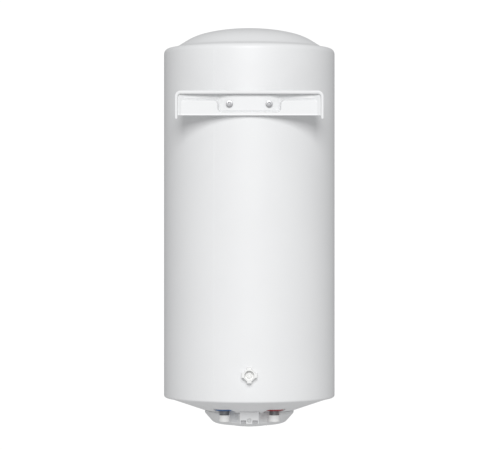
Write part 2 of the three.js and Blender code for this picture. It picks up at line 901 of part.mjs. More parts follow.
for (const [name, side] of [["left", 1], ["right", -1]]) {
  const [x, y] = coverScrewPlace(side);
  const seat = coverScrewZ - fit;
  const head = post(coverScrewHead, seat - coverScrewHeadHeight, seat, x, y);
  const shank = post(coverScrewRadius, seat - 1, capFloor + coverScrewBite, x, y, 12);
  piece("cover_screw_" + name, head.add(shank), "steel");
}

// The hatch closes the cable entry behind the cover: a small box with a screw tab between two
// cable windows. It is cut to the cover's round wall and to the end cap above it.
function makeHatch() {
  const half = hatchWidth / 2;
  const high = coneZ(hatchReach);
  let hatch = block(-half, half, hatchNear, hatchRear, hatchLow, high);
  const hollow = block(
    -half + hatchWall,
    half - hatchWall,
    hatchNear - beyond,
    hatchRear - hatchWall,
    hatchLow + cableWindow - 1,
    high + beyond,
  );
  const boss = pin(hatchScrewHead + hatchWall, hatchNear, hatchRear - 1, 0, hatchScrewZ);
  hatch = hatch.subtract(hollow).add(boss);
  for (const side of [1, -1]) {
    const [inner, outer] = windowSpan(side, 0);
    hatch = hatch.subtract(
      block(
        inner,
        outer,
        hatchNear - beyond,
        hatchRear + beyond,
        hatchLow - beyond,
        hatchLow + cableWindow,
      ),
    );
  }
  const rear = hatchRear + beyond;
  const hole = pin(coverScrewRadius + fit, hatchNear - beyond, rear, 0, hatchScrewZ, 12);
  const sink = pin(hatchScrewHead + fit, hatchRear - hatchScrewSink, rear, 0, hatchScrewZ);
  return hatch.subtract(hole).subtract(sink).subtract(coverOuterWithRoom())
    .subtract(capOuterWithRoom());
}

// The two edges along X of a cable window, drawn in by a clearance.
function windowSpan(side, room) {
  const inner = side * (hatchTab / 2 + room);
  const outer = side * (hatchWidth / 2 - hatchWall - room);
  return side > 0 ? [inner, outer] : [outer, inner];
}

// The cover's outside with the clearance, for cutting what stands against it.
function coverOuterWithRoom() {
  return turned(
    [
      [0, coverFloor - fit],
      [coverFloorRadius + fit, coverFloor - fit],
      [coverShelfRadius + fit, capFloor - coverShelfDrop],
      [coverRadius + fit, capFloor - coverBand],
      [coverRadius + fit, capFloor + 10],
      [0, capFloor + 10],
    ],
    around,
  );
}

function capOuterWithRoom() {
  return turned(
    [
      [0, capFloor - fit],
      [capFlatRadius, capFloor - fit],
      [bottomCrease, creaseZ - fit],
      [bottomCrease, creaseZ + beyond],
      [0, creaseZ + beyond],
    ],
    around,
  );
}

piece("cable_hatch", makeHatch(), "plastic");

const skirtShare = (hatchScrewZ - capFloor + coverShelfDrop) / (coverShelfDrop - coverBand);
const skirtRadius = coverShelfRadius + skirtShare * (coverRadius - coverShelfRadius);
const hatchScrewTop = hatchRear - hatchScrewSink + fit;
const hatchHead = pin(
  hatchScrewHead,
  hatchScrewTop,
  hatchScrewTop + hatchScrewHeadHeight,
  0,
  hatchScrewZ,
);
const hatchShank = pin(
  coverScrewRadius,
  axisY + skirtRadius - hatchScrewBite,
  hatchScrewTop + 1,
  0,
  hatchScrewZ,
  12,
);
piece("hatch_screw", hatchHead.add(hatchShank), "plastic");

// Each cable window is closed by a rubber membrane, which the fitter pierces for the cable.
for (const [name, side] of [["left", 1], ["right", -1]]) {
  const [inner, outer] = windowSpan(side, fit);
  const rear = hatchRear - grommetSink;
  const membrane = block(
    inner,
    outer,
    rear - grommetThickness,
    rear,
    hatchLow + fit,
    hatchLow + cableWindow - fit,
  );
  piece("cable_grommet_" + name, membrane, "membrane");
}

// ---- Wiring under the cover -----------------------------------------------------------------------

const terminalY = axisY + dialWellRadius + coverWall + terminalGap;
const terminalLow = coverFloor + coverWall + fit;
const terminalTop = terminalLow + terminalHeight;

function makeTerminalBlock() {
  let body = block(
    -terminalWidth / 2,
    terminalWidth / 2,
    terminalY - terminalDepth / 2,
    terminalY + terminalDepth / 2,
    terminalLow,
    terminalTop,
  );
  const pitch = terminalWidth / 3;
  for (const x of [-pitch, 0, pitch]) {
    const floor = terminalTop - terminalHoleDepth;
    const hole = post(terminalHole, floor, terminalTop + 1, x, terminalY - 3, 10);
    body = body.subtract(hole);
  }
  return body;
}

piece("terminal_block", makeTerminalBlock(), "plastic");

// Route points are measured from the axis and from the cap's flat ring.
function lead(points) {
  const places = points.map(([x, y, z]) => [x, axisY + y, capFloor + z]);
  return rodAlong(places, leadRadius, 10, 8);
}

const elementX = elementSpacing / 2;
const leadRing = thermostatRadius + leadRadius + 2 * fit;
for (const [name, side] of [["live", 1], ["neutral", -1]]) {
  const elementEnd = plateBottom - elementTail - capFloor;
  const elementLead = lead([
    [side * elementX, -elementOffset, elementEnd - 2],
    [side * (elementX + 3), -elementOffset - 3, elementEnd - 4],
    [side * (leadRing - 1), -17, 1],
    [side * leadRing, -4, -3],
    [side * leadRing, 4, -8],
  ]);
  piece("element_lead_" + name, elementLead, name === "live" ? "copper" : "blue");
  const terminalEnd = terminalTop - capFloor + leadRadius + fit;
  const supplyLead = lead([
    [side * 5, terminalY - axisY + 3, terminalEnd],
    [side * 6, terminalY - axisY - 5, terminalEnd + 5],
    [side * 6, terminalY - axisY - 16, -2],
    [side * 5, leadRing - 1, -5],
  ]);
  piece("supply_lead_" + name, supplyLead, name === "live" ? "copper" : "blue");
}
const earthLead = lead([
  [32, 34, plateBottom - capFloor - leadRadius - 0.5],
  [27, 42, 8],
  [20, 52, -4],
  [12, terminalY - axisY + 3, terminalTop - capFloor + leadRadius + fit],
]);
piece("earth_lead", earthLead, "earth");

// ---- Wall bracket ---------------------------------------------------------------------------------

// The tray's outline in the wall plane, open at the bottom, drawn in at the sides and at the top.
function trayOutline(sideInset, topInset, bottom) {
  const half = bracketWidth / 2 - sideInset;
  const top = bracketTop - topInset;
  const corner = bracketCorner - sideInset;
  const outline = new THREE.Shape();
  outline.moveTo(-half, bottom);
  outline.lineTo(half, bottom);
  outline.absarc(half - corner, top - corner, corner, 0, Math.PI / 2, false);
  outline.absarc(corner - half, top - corner, corner, Math.PI / 2, Math.PI, false);
  outline.closePath();
  return outline;
}

// A pressed pocket in the web: positive rise towards the wall, negative away from it.
function pressing(x0, x1, z0, z1, rise) {
  const web = -webDepth;
  const t = bracketSheet;
  if (rise > 0) {
    return {
      add: block(x0, x1, web - t, web + rise, z0, z1),
      cut: block(x0 + t, x1 - t, web - t - 1, web + rise - t, z0 + t, z1 - t),
    };
  }
  return {
    add: block(x0 - t, x1 + t, web + rise - t, web, z0 - t, z1 + t),
    cut: block(x0, x1, web + rise, web + 1, z0, z1),
  };
}

function makeBracket() {
  const t = bracketSheet;
  const back = -webDepth - t;
  const below = bracketTabBottom - 1;
  let bracket = upright(trayOutline(0, 0, bracketTabBottom), back, 0);
  const room = upright(trayOutline(t, t, below), -webDepth, -t);
  const window = upright(trayOutline(sideRim, lipHeight, below), -webDepth, 1);
  bracket = bracket.subtract(room).subtract(window);
  bracket = bracket.subtract(
    block(-bracketWidth, bracketWidth, back - 1, -webDepth, below, bracketBottom),
  );
  const shapes = [
    pressing(padInner, padOuter, padBottom, padTop, padRaise),
    pressing(-padOuter, -padInner, padBottom, padTop, padRaise),
    pressing(-saddleHalf, saddleHalf, saddleBottom, -lipHeight, webDepth - saddleDepth),
  ];
  for (const { add, cut } of shapes) bracket = bracket.add(add).subtract(cut);
  for (const side of [1, -1]) {
    const x = (side * bracketScrewSpacing) / 2;
    bracket = bracket.subtract(pin(screwShank + fit, -30, 0, x, bracketScrewHeight));
  }
  return bracket;
}

piece("wall_bracket", makeBracket(), "enamel");

const lugEnd = -saddleDepth - bracketSheet - fit;
for (const [name, side] of [["left", 1], ["right", -1]]) {
  const x = (side * bracketScrewSpacing) / 2;
  const z = bracketScrewHeight;
  const tankSide = post(tankRadius + fit, z - 20, z + 20, 0, axisY, around);
  const bore = pin(screwShank + fit, lugEnd - lugBore, lugEnd + 1, x, z);
  const lug = pin(lugRadius, axisY + tankRadius / 2, lugEnd, x, z).subtract(tankSide);
  piece("tank_lug_" + name, lug.subtract(bore), "steel");
  const headLow = -saddleDepth + fit;
  const face = headLow + screwHeadHeight;
  const head = pin(screwHeadRadius, headLow, face, x, z);
  const socket = pin(screwSocket, face - screwSocketDepth, face + 1, x, z, 6);
  const shank = pin(screwShank, lugEnd - lugBore + 2, headLow + 1, x, z);
  piece("bracket_screw_" + name, head.subtract(socket).add(shank), "steel");
}

// ---- Lower wall spacer ----------------------------------------------------------------------------

function makeSpacer() {
  const half = spacerSpan / 2;
  const lobe = spacerLobe / 2;
  const z = spacerHeight;
  const diamond = new THREE.Shape();
  const reach = (spacerCore / 2) * Math.SQRT2;
  const flat = reach - half + 2;
  const corners = [
    [half - 2, flat], [flat, half - 2], [-flat, half - 2], [2 - half, flat],
    [2 - half, -flat], [-flat, 2 - half], [flat, 2 - half], [half - 2, -flat],
  ];
  corners.forEach(([x, dz], i) => {
    if (i) diamond.lineTo(x, z + dz);
    else diamond.moveTo(x, z + dz);
  });
  diamond.closePath();
  const core = upright(diamond, -spacerDepth, 0);
  const across = block(-half, half, -spacerDepth, 0, z - lobe, z + lobe);
  const tall = block(-lobe, lobe, -spacerDepth, 0, z - half, z + half);
  const bore = pin(spacerBore, -spacerDepth + spacerFloor, 1, 0, z);
  const hole = pin(spacerScrewShank + fit, -spacerDepth - 1, 0, 0, z, 12);
  return core.add(across).add(tall).subtract(bore).subtract(hole);
}

piece("wall_spacer", makeSpacer(), "cap");
const spacerSeat = -spacerDepth + spacerFloor + fit;
const spacerHead = pin(
  spacerScrewHead,
  spacerSeat,
  spacerSeat + spacerScrewHeadHeight,
  0,
  spacerHeight,
);
const spacerShank = pin(spacerScrewShank, -2 * spacerDepth, spacerSeat + 1, 0, spacerHeight, 12);
piece("spacer_screw", spacerHead.add(spacerShank), "cap");

export default heater;
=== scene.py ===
# %% [markdown]
# # A slim tank water heater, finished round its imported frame
# The engineering model gives every piece its place and size. This notebook gives the pieces that
# show their fine surface and every piece its finish. Lengths are metres, +Z is up and +Y points
# from the heater into the wall.

import json

import bmesh
import bpy
import numpy as np
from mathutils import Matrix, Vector

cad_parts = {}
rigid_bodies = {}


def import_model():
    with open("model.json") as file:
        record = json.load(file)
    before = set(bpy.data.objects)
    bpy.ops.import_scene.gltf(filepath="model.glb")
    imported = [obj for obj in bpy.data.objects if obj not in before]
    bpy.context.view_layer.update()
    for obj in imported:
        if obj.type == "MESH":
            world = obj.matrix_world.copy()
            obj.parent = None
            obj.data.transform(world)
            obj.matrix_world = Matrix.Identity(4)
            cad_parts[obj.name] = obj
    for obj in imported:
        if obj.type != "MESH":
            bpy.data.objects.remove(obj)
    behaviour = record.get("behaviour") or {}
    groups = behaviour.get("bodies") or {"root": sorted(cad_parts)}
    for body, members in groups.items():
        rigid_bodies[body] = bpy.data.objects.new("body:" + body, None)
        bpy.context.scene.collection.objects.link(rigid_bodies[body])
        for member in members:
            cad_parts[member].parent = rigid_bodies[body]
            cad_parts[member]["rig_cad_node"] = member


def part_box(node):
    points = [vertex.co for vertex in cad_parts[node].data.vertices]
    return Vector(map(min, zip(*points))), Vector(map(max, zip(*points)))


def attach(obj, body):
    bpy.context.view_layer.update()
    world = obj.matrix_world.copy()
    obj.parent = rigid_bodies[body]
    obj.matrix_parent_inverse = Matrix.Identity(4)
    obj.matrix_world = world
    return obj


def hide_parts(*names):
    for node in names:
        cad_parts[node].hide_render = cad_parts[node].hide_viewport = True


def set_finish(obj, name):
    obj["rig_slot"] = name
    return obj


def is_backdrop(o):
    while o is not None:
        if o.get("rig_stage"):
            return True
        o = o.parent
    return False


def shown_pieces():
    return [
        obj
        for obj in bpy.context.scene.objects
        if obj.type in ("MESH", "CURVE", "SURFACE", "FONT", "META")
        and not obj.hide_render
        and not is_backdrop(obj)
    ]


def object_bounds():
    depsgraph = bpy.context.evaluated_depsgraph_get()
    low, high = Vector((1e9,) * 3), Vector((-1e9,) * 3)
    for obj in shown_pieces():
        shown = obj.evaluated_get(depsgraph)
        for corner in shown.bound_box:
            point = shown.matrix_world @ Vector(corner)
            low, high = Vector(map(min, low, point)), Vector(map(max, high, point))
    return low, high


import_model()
cad_low, cad_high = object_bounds()

# %% [markdown]
# ## Places
# Nearly everything is round about one upright axis, so the first thing to read from the frame is
# that axis, the casing's radius, and the heights where one piece ends and the next begins.

# %% Read the main sizes from the frame
MM = 0.001
casing_low, casing_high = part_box("casing")
cover_low, cover_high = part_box("bottom_cover")
dial_low, dial_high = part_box("thermostat_dial")
bracket_low, bracket_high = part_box("wall_bracket")
axis_y = (casing_low.y + casing_high.y) / 2
casing_radius = (casing_high.x - casing_low.x) / 2
top_roll = 12 * MM
bottom_roll = 6.5 * MM
bottom_roll_drop = 5.4 * MM
side_top = casing_high.z - top_roll
side_bottom = casing_low.z + bottom_roll_drop
sheet = 1 * MM
print("casing radius", round(casing_radius, 4))
print("side from", round(side_bottom, 4), "to", round(side_top, 4))

# %% [markdown]
# ## Camera, light and floor
# The heater is looked at square from its wall side, from far away and through a long lens, so that
# its sides look parallel. White enamel shows its roundness only by how the light falls off towards
# its edges. A light close by would leave one end brighter, so one broad soft light stands far behind
# the camera and above it, and a weaker, even surround fills the shadows. The heater hangs on a wall,
# so the pale floor lies well below it.

# %% Camera
camera = bpy.data.objects.new("camera", bpy.data.cameras.new("camera"))
bpy.context.scene.collection.objects.link(camera)
camera.location = (-0.0015, 4.6715, -0.273)
camera.rotation_euler = (np.pi / 2, 0, np.pi)
camera.data.sensor_width = 36
camera.data.lens = 163.66
camera.data.clip_end = 60
bpy.context.scene.camera = camera
print("camera at", tuple(camera.location))

# %% Soft light
def soft_light(name, place, target, side, watts):
    """A square area light at a place, turned towards a target."""
    data = bpy.data.lights.new(name, "AREA")
    data.size = side
    data.energy = watts
    lamp = bpy.data.objects.new(name, data)
    bpy.context.scene.collection.objects.link(lamp)
    lamp.location = place
    away = np.array(place) - np.array(target)
    lamp.rotation_mode = "QUATERNION"
    lamp.rotation_quaternion = Vector(away).to_track_quat("Z", "Y")
    return lamp


middle = (0, axis_y, -0.28)
key = soft_light("key_light", (0, 9.4, 4.45), middle, 4.6, 720)
print("key light", key.data.energy, "W")

# %% Surround
# The surround lights the heater evenly. What is seen directly behind it is plain white.
world = bpy.data.worlds.new("surround")
bpy.context.scene.world = world
world.use_nodes = True
nodes = world.node_tree.nodes
links = world.node_tree.links
nodes.clear()
seen = nodes.new("ShaderNodeBackground")
seen.inputs["Color"].default_value = (1, 1, 1, 1)
seen.inputs["Strength"].default_value = 1.05
lit = nodes.new("ShaderNodeBackground")
lit.inputs["Color"].default_value = (0.985, 0.99, 1, 1)
lit.inputs["Strength"].default_value = 0.39
path = nodes.new("ShaderNodeLightPath")
choice = nodes.new("ShaderNodeMixShader")
out = nodes.new("ShaderNodeOutputWorld")
links.new(path.outputs["Is Camera Ray"], choice.inputs["Fac"])
links.new(lit.outputs[0], choice.inputs[1])
links.new(seen.outputs[0], choice.inputs[2])
links.new(choice.outputs[0], out.inputs["Surface"])
bpy.context.scene.view_settings.view_transform = "Standard"
print("surround strength", lit.inputs["Strength"].default_value)

# %% [markdown]
# ## Surfaces from grids
# A pressed, rolled or moulded piece could be modelled by hand from a cylinder with modifiers, but
# then its sizes would be scattered over many steps. Here every new piece is a grid of points worked
# out with numpy: rows run along a profile and columns run round it. One helper turns such a grid
# into a mesh, closes its seam, welds its poles and turns its faces outwards.

# %% Grid to mesh
def grid_faces(rows, columns, wrap, ring):
    """Each cell between two rows and two columns as four point numbers. With wrap the last column
    joins the first, and with ring the last row joins the first."""
    i, j = np.meshgrid(
        np.arange(rows if ring else rows - 1),
        np.arange(columns if wrap else columns - 1),
        indexing="ij",
    )
    up, along = (i + 1) % rows, (j + 1) % columns
    corners = [i * columns + j, i * columns + along, up * columns + along, up * columns + j]
    return np.stack(corners, -1).reshape(-1, 4)


def surface(name, grids, body, slot, wrap=True, ring=False, facing=None, flat_below=35):
    """A mesh piece from one (rows, columns, 3) grid of points, or from several like ones.

    Points that coincide, as at a pole, are welded. A closed shell faces outwards by itself, and an
    open skin is turned so that its outer side mostly looks along facing. Edges sharper than
    flat_below degrees stay crisp."""
    grids = grids if isinstance(grids, list) else [grids]
    rows, columns = grids[0].shape[:2]
    cells = grid_faces(rows, columns, wrap, ring)
    faces = np.concatenate([cells + k * rows * columns for k in range(len(grids))])
    mesh = bpy.data.meshes.new(name)
    mesh.from_pydata(np.concatenate([g.reshape(-1, 3) for g in grids]), [], faces)
    work = bmesh.new()
    work.from_mesh(mesh)
    bmesh.ops.remove_doubles(work, verts=work.verts, dist=1e-6)
    bmesh.ops.recalc_face_normals(work, faces=work.faces)
    if facing is not None:
        looks = sum((f.normal * f.calc_area() for f in work.faces), Vector())
        if looks.dot(Vector(facing)) < 0:
            bmesh.ops.reverse_faces(work, faces=work.faces)
    work.to_mesh(mesh)
    work.free()
    mesh.shade_smooth()
    mesh.set_sharp_from_angle(angle=np.radians(flat_below))
    piece = bpy.data.objects.new(name, mesh)
    bpy.context.scene.collection.objects.link(piece)
    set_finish(piece, slot)
    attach(piece, body)
    return piece


def thicken(piece, wall, offset=-1):
    """Gives an open skin its wall, inwards from the skin."""
    solid = piece.modifiers.new("wall", "SOLIDIFY")
    solid.thickness = wall
    solid.offset = offset
    solid.use_even_offset = True
    return piece


print("surface helper ready")

# %% Profiles with soft corners
def softened(points, reach, steps=6):
    """A polyline whose inner corners are replaced by quadratic curves.

    At each corner the curve starts and ends at the given reach from it, along the two sides, or
    at half a side where that is shorter. reach is one number or one for each inner corner."""
    points = np.asarray(points, float)
    reaches = np.broadcast_to(reach, len(points) - 2)
    t = np.linspace(0, 1, steps)[:, None]
    parts = [points[:1]]
    for before, corner, after, r in zip(points, points[1:], points[2:], reaches):
        a, b = before - corner, after - corner
        first = corner + a * min(r / np.linalg.norm(a), 0.5)
        last = corner + b * min(r / np.linalg.norm(b), 0.5)
        parts.append((1 - t) ** 2 * first + 2 * t * (1 - t) * corner + t**2 * last)
    return np.vstack([*parts, points[-1:]])


def evenly(profile, spacing):
    """The same polyline with points added so that none are further apart than the spacing."""
    parts = [profile[:1]]
    for a, b in zip(profile, profile[1:]):
        count = max(1, int(np.ceil(np.linalg.norm(b - a) / spacing)))
        parts.append(a + (b - a) * (np.arange(1, count + 1) / count)[:, None])
    return np.vstack(parts)


def rounded(corners, reach, steps=5):
    """A closed outline with a curve at every corner. It starts at the middle of the side that
    joins its last corner to its first."""
    corners = np.asarray(corners, float)
    middle = (corners[-1] + corners[0]) / 2
    return softened([middle, *corners, middle], reach, steps)[:-1]


def turned(r, z, angles, x, y):
    """Points at a radius and height from an upright axis: at an angle from the front, x is radius
    times its sine and y is minus radius times its cosine."""
    return np.stack([x + r * np.sin(angles), y - r * np.cos(angles), z + 0 * r * angles], -1)


def revolved(profile, angles, x=0.0, y=None):
    """A [radius, height] profile carried round an upright axis, the heater's own if y isn't given."""
    return turned(profile[:, :1], profile[:, 1:], angles, x, axis_y if y is None else y)


def turn(count):
    """That many angles round a full turn."""
    return np.arange(count) * 2 * np.pi / count


print("profile helpers ready")

# %% [markdown]
# ## Casing
# The casing is a sheet rolled into a tube and locked along one upright seam, with its two ends
# turned in over the covers. A Screw modifier could turn the profile too, but the seam needs its own
# columns. So it is a closed profile, outside and inside, carried round the axis, and the columns
# stand closer together at the seam, which is a shallow groove with a low ridge beside it.

# %% Casing with its seam
seam_x = 73 * MM
seam_angle = np.pi - np.arcsin(seam_x / casing_radius)
seam_reach = 2.4 * MM
groove_depth, groove_width = 0.32 * MM, 0.32 * MM
ridge_height, ridge_width, ridge_place = 0.14 * MM, 0.5 * MM, 1.1 * MM


def quarter_turn(centre_r, centre_z, half_r, half_z, start, stop, steps=10):
    """Points on an ellipse about a centre, from one angle to another, in degrees."""
    a = np.radians(np.linspace(start, stop, steps))
    return np.stack([centre_r + half_r * np.cos(a), centre_z + half_z * np.sin(a)], 1)


def casing_profile(inset):
    """The casing's skin from its lower edge to its upper edge, drawn in by inset."""
    low = quarter_turn(
        casing_radius - bottom_roll,
        side_bottom,
        bottom_roll - inset,
        bottom_roll_drop - inset,
        -90,
        0,
    )
    high = quarter_turn(
        casing_radius - top_roll, side_top, top_roll - inset, top_roll - inset, 0, 90
    )
    return np.vstack([low, high])


near_seam = seam_angle + np.linspace(-seam_reach, seam_reach, 33) / casing_radius
round_casing = np.unique(np.concatenate([turn(240), near_seam]))
outer = evenly(casing_profile(0), 40 * MM)
grid = revolved(np.vstack([outer, casing_profile(sheet)[::-1]]), round_casing)
across = (round_casing - seam_angle) * casing_radius
groove = groove_depth * np.exp(-((across / groove_width) ** 2))
ridge = ridge_height * np.exp(-(((across - ridge_place) / ridge_width) ** 2))
outward = np.stack([np.sin(round_casing), -np.cos(round_casing), 0 * round_casing], -1)
straight = (grid[..., 2] > side_bottom - 1e-6) & (grid[..., 2] < side_top + 1e-6)
grid -= ((groove - ridge) * straight)[..., None] * outward
casing = surface("casing_skin", grid, "heater", "enamel", ring=True)
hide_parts("casing")
print("casing:", len(casing.data.polygons), "faces")
print("seam at", round(np.degrees(seam_angle), 1), "degrees from the front")

# %% [markdown]
# ## Top cover
# A pressed lid whose rim tucks under the rolled edge. From the rim a gentle shoulder climbs to a
# crease, a steeper cone follows, and a low dome closes it. The shoulder's and the dome's bends could
# be bevels, but curves in the profile can differ in length from bend to bend. So a profile with soft
# corners is turned round the axis, and the joint with the casing is a real gap.

# %% Top cover
lip = casing_radius - top_roll
rim_z = casing_high.z - 1.9 * MM
lid_gap = 0.5 * MM
lid_outer = softened(
    [
        [0, cad_high.z],
        [67.6 * MM, side_top + 51.2 * MM],
        [118 * MM, side_top + 38.6 * MM],
        [casing_radius - 29.2 * MM, side_top + 16.5 * MM],
        [lip - lid_gap, side_top + 11.6 * MM],
        [lip - lid_gap, rim_z],
        [lip + 4 * MM, rim_z - 1.6 * MM],
    ],
    np.array([52, 22, 3.2, 0.5, 0.3]) * MM,
    9,
)
lid_inner = lid_outer[::-1] - [0, sheet]
lid_inner[:, 0] = np.clip(lid_inner[:, 0], 0, None)
profile = np.vstack([evenly(lid_outer, 6 * MM), lid_inner])
top_cover = surface("top_cover_skin", revolved(profile, turn(240)), "heater", "enamel")
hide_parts("top_cover")
print("top cover:", len(top_cover.data.polygons), "faces")

# %% [markdown]
# ## Bottom end cap
# The lower cap has a shoulder, a crease and a shallow cone, and where each pipe comes through there
# is a flat round pad, proud of the cone towards the wall and let into it towards the middle. The
# pads could be cut and joined with Booleans, which leave ragged edges to clean. But seen from above
# the cap is one height for each place, so its height is the cone's, changed to the pad's within the
# pad's circle, and the pad's wall comes out smooth.

# %% End cap with its pads
cap_flat_r = 96 * MM
cap_floor = cover_high.z + 0.4 * MM
crease_r = casing_radius - 25.7 * MM
crease_z = side_bottom - 11 * MM
cone_slope = (crease_z - cap_floor) / (crease_r - cap_flat_r)
ring_low, ring_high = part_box("cold_ring")
nipple_x = (ring_low.x + ring_high.x) / 2
nipple_y = (ring_low.y + ring_high.y) / 2
seat_z = ring_high.z + 0.4 * MM
pad_r = 24 * MM
lower_lip = casing_radius - bottom_roll


def smooth_step(value, low, high):
    """0 below low, 1 above high, and a smooth rise between them."""
    t = np.clip((value - low) / (high - low), 0, 1)
    return t * t * (3 - 2 * t)


def angles_with(fine, coarse_count):
    """Angles round a full turn, with extra ones in (start, stop, count) degree spans."""
    extra = [np.radians(np.linspace(a, b, n)) for a, b, n in fine]
    return np.unique(np.round(np.concatenate([turn(coarse_count), *extra]), 6))


cap_skin = softened(
    [
        [74 * MM, cap_floor],
        [cap_flat_r, cap_floor],
        [crease_r, crease_z],
        [lower_lip - 0.5 * MM, casing_low.z + 0.3 * MM],
        [lower_lip - 0.5 * MM, casing_low.z + 1.7 * MM],
        [lower_lip + 2.2 * MM, casing_low.z + 1.9 * MM],
    ],
    np.array([4, 3, 0.5, 0.3]) * MM,
)
round_cap = angles_with([(134, 167, 100), (193, 226, 100)], 120)
grid = revolved(evenly(cap_skin, 0.8 * MM), round_cap)
for side in (1, -1):
    away = np.hypot(grid[..., 0] - side * nipple_x, grid[..., 1] - nipple_y)
    inside = 1 - smooth_step(away, pad_r - 1.1 * MM, pad_r + 0.1 * MM)
    grid[..., 2] += inside * (seat_z - grid[..., 2])
end_cap_skin = surface("bottom_end_cap_skin", grid, "heater", "enamel", facing=(0, 0, -1))
end_cap = thicken(end_cap_skin, 0.9 * MM)
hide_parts("bottom_end_cap")
print("end cap:", len(end_cap.data.polygons), "faces, pads at", round(seat_z, 4))

# %% [markdown]
# ## Bottom cover
# A moulded cup over the electrical parts: an upright band, a sloping skirt, a floor that rises
# slightly towards its edge, and a well for the dial. Two recesses leave room for the pipes. Cutting
# them with a Boolean would leave a sharp edge and an uneven mesh. Instead, along every ray from the
# axis the radius is the smaller of the cup's own and the distance to the recess, blended so that the
# edge is rounded. Two small screw wells are pushed up into the skirt.

# %% Distance from the axis to the pipe recesses
scallop_x, scallop_y = 30 * MM, 24 * MM


def recess_distance(angles):
    """Distance along a ray from the axis to the nearer of the two elliptical recesses: the smaller
    root of the quadratic for the ray and the ellipse, and far away where the ray misses both."""
    best = np.full_like(angles, 1.0)
    dx, dy = np.sin(angles), -np.cos(angles)
    for side in (1, -1):
        cx, cy = side * nipple_x, nipple_y - axis_y
        a = (dx / scallop_x) ** 2 + (dy / scallop_y) ** 2
        b = dx * cx / scallop_x**2 + dy * cy / scallop_y**2
        c = (cx / scallop_x) ** 2 + (cy / scallop_y) ** 2 - 1
        inside = b**2 - a * c
        hit = (b - np.sqrt(np.clip(inside, 0, None))) / a
        best = np.where((inside > 0) & (b > 0), np.minimum(best, hit), best)
    return best


def smaller(a, b, blend):
    """The smaller of two lengths, rounded over the blend where they are nearly equal."""
    h = np.clip(0.5 + (b - a) / (2 * blend), 0, 1)
    return b + (a - b) * h - blend * h * (1 - h)


print("nearest recess", round(recess_distance(turn(720)).min(), 4), "from the axis")

# %% Bottom cover
cover_wall = 2.2 * MM
cover_r = (cover_high.x - cover_low.x) / 2
band_z = cap_floor - 5.7 * MM
shelf_r, shelf_z = 77.5 * MM, cap_floor - 25.4 * MM
floor_rim_r, floor_rise = 68 * MM, 1.8 * MM
well_r = 44 * MM
well_z = cover_low.z + 8 * MM
cup = softened(
    [
        [cover_r, cover_high.z],
        [cover_r, band_z],
        [shelf_r, shelf_z],
        [floor_rim_r, cover_low.z + floor_rise],
        [well_r + 5 * MM, cover_low.z],
        [well_r, cover_low.z],
        [well_r, well_z],
        [5 * MM, well_z],
    ],
    np.array([2.4, 5, 6, 4, 1.2, 0.8]) * MM,
)
round_cup = angles_with([(55, 65, 40), (295, 305, 40), (126, 174, 90), (186, 234, 90)], 144)
grid = revolved(evenly(cup, 1.2 * MM), round_cup)
radius = np.hypot(grid[..., 0], grid[..., 1] - axis_y)
limited = smaller(radius, recess_distance(round_cup)[None, :], 1.3 * MM)
recess_from_r = 60 * MM
shrink = np.where(radius > recess_from_r, limited / radius, 1)[..., None]
centre = np.array([0, axis_y, 0])
grid[..., :2] = centre[:2] + (grid[..., :2] - centre[:2]) * shrink
screw_seat_z = cap_floor - 3.4 * MM
for name in ("cover_screw_left", "cover_screw_right"):
    low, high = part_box(name)
    place = ((low.x + high.x) / 2, (low.y + high.y) / 2)
    away = np.hypot(grid[..., 0] - place[0], grid[..., 1] - place[1])
    inside = 1 - smooth_step(away, 4.8 * MM, 5.6 * MM)
    grid[..., 2] += inside * np.clip(screw_seat_z - grid[..., 2], 0, None)
cover_skin = surface("bottom_cover_skin", grid, "heater", "plastic", facing=(0, 0, -1))
bottom_cover = thicken(cover_skin, cover_wall)
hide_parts("bottom_cover")
print("bottom cover:", len(bottom_cover.data.polygons), "faces")

# %% [markdown]
# ## Thermostat dial
# The dial is a shallow crown that sits in the well. Two finger pockets leave a grip bar across its
# middle, and its rim is finely fluted. Sculpting would do for one dial, but formulas keep its two
# halves and its flutes the same. The crown is a profile turned round the axis, the pockets push its
# underside up where the finger goes, and the flutes are a cosine of the angle.

# %% Dial
dial_r = (dial_high.x - dial_low.x) / 2
crown = softened(
    [
        [0, dial_low.z],
        [0.3 * dial_r, dial_low.z + 0.3 * MM],
        [0.76 * dial_r, dial_low.z + 1.8 * MM],
        [dial_r, dial_low.z + 4.6 * MM],
        [dial_r, dial_high.z],
        [0, dial_high.z],
    ],
    np.array([4, 12, 1.6, 0.6]) * MM,
)
round_dial = turn(360)
grid = revolved(evenly(crown, 0.7 * MM), round_dial)
across = np.abs(grid[..., 0])
radius = np.hypot(grid[..., 0], grid[..., 1] - axis_y)
grip_half, grip_spread = 5.2 * MM, 0.09
pocket_r = 30 * MM
grip = grip_half + grip_spread * np.abs(grid[..., 1] - axis_y)
pocket = smooth_step(across, grip, grip + 1.6 * MM)
pocket *= 1 - smooth_step(radius, pocket_r - 1.4 * MM, pocket_r + 0.4 * MM)
under = grid[..., 2] < dial_high.z - 3 * MM
pocket_depth = 8.2 * MM - 2.2 * MM * (radius / pocket_r) ** 2
grid[..., 2] += pocket * under * pocket_depth
flute_count, flute_depth = 60, 0.28 * MM
flute = flute_depth * (np.cos(flute_count * round_dial) - 1)
flute = flute * smooth_step(radius, dial_r - 1.2 * MM, dial_r)
grid[..., :2] += (grid[..., :2] - centre[:2]) * (flute / np.maximum(radius, MM))[..., None]
dial = surface("thermostat_dial_skin", grid, "dial", "plastic")
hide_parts("thermostat_dial")
print("dial:", len(dial.data.polygons), "faces")

# %% [markdown]
# ### Heating marks
# Round the dial the cover carries small raised bars that grow in length with the setting, so that
# they need no figures. They could be an Array turned by an empty, but then all would be alike. One
# function makes a bar of any length, and all of them become one piece.

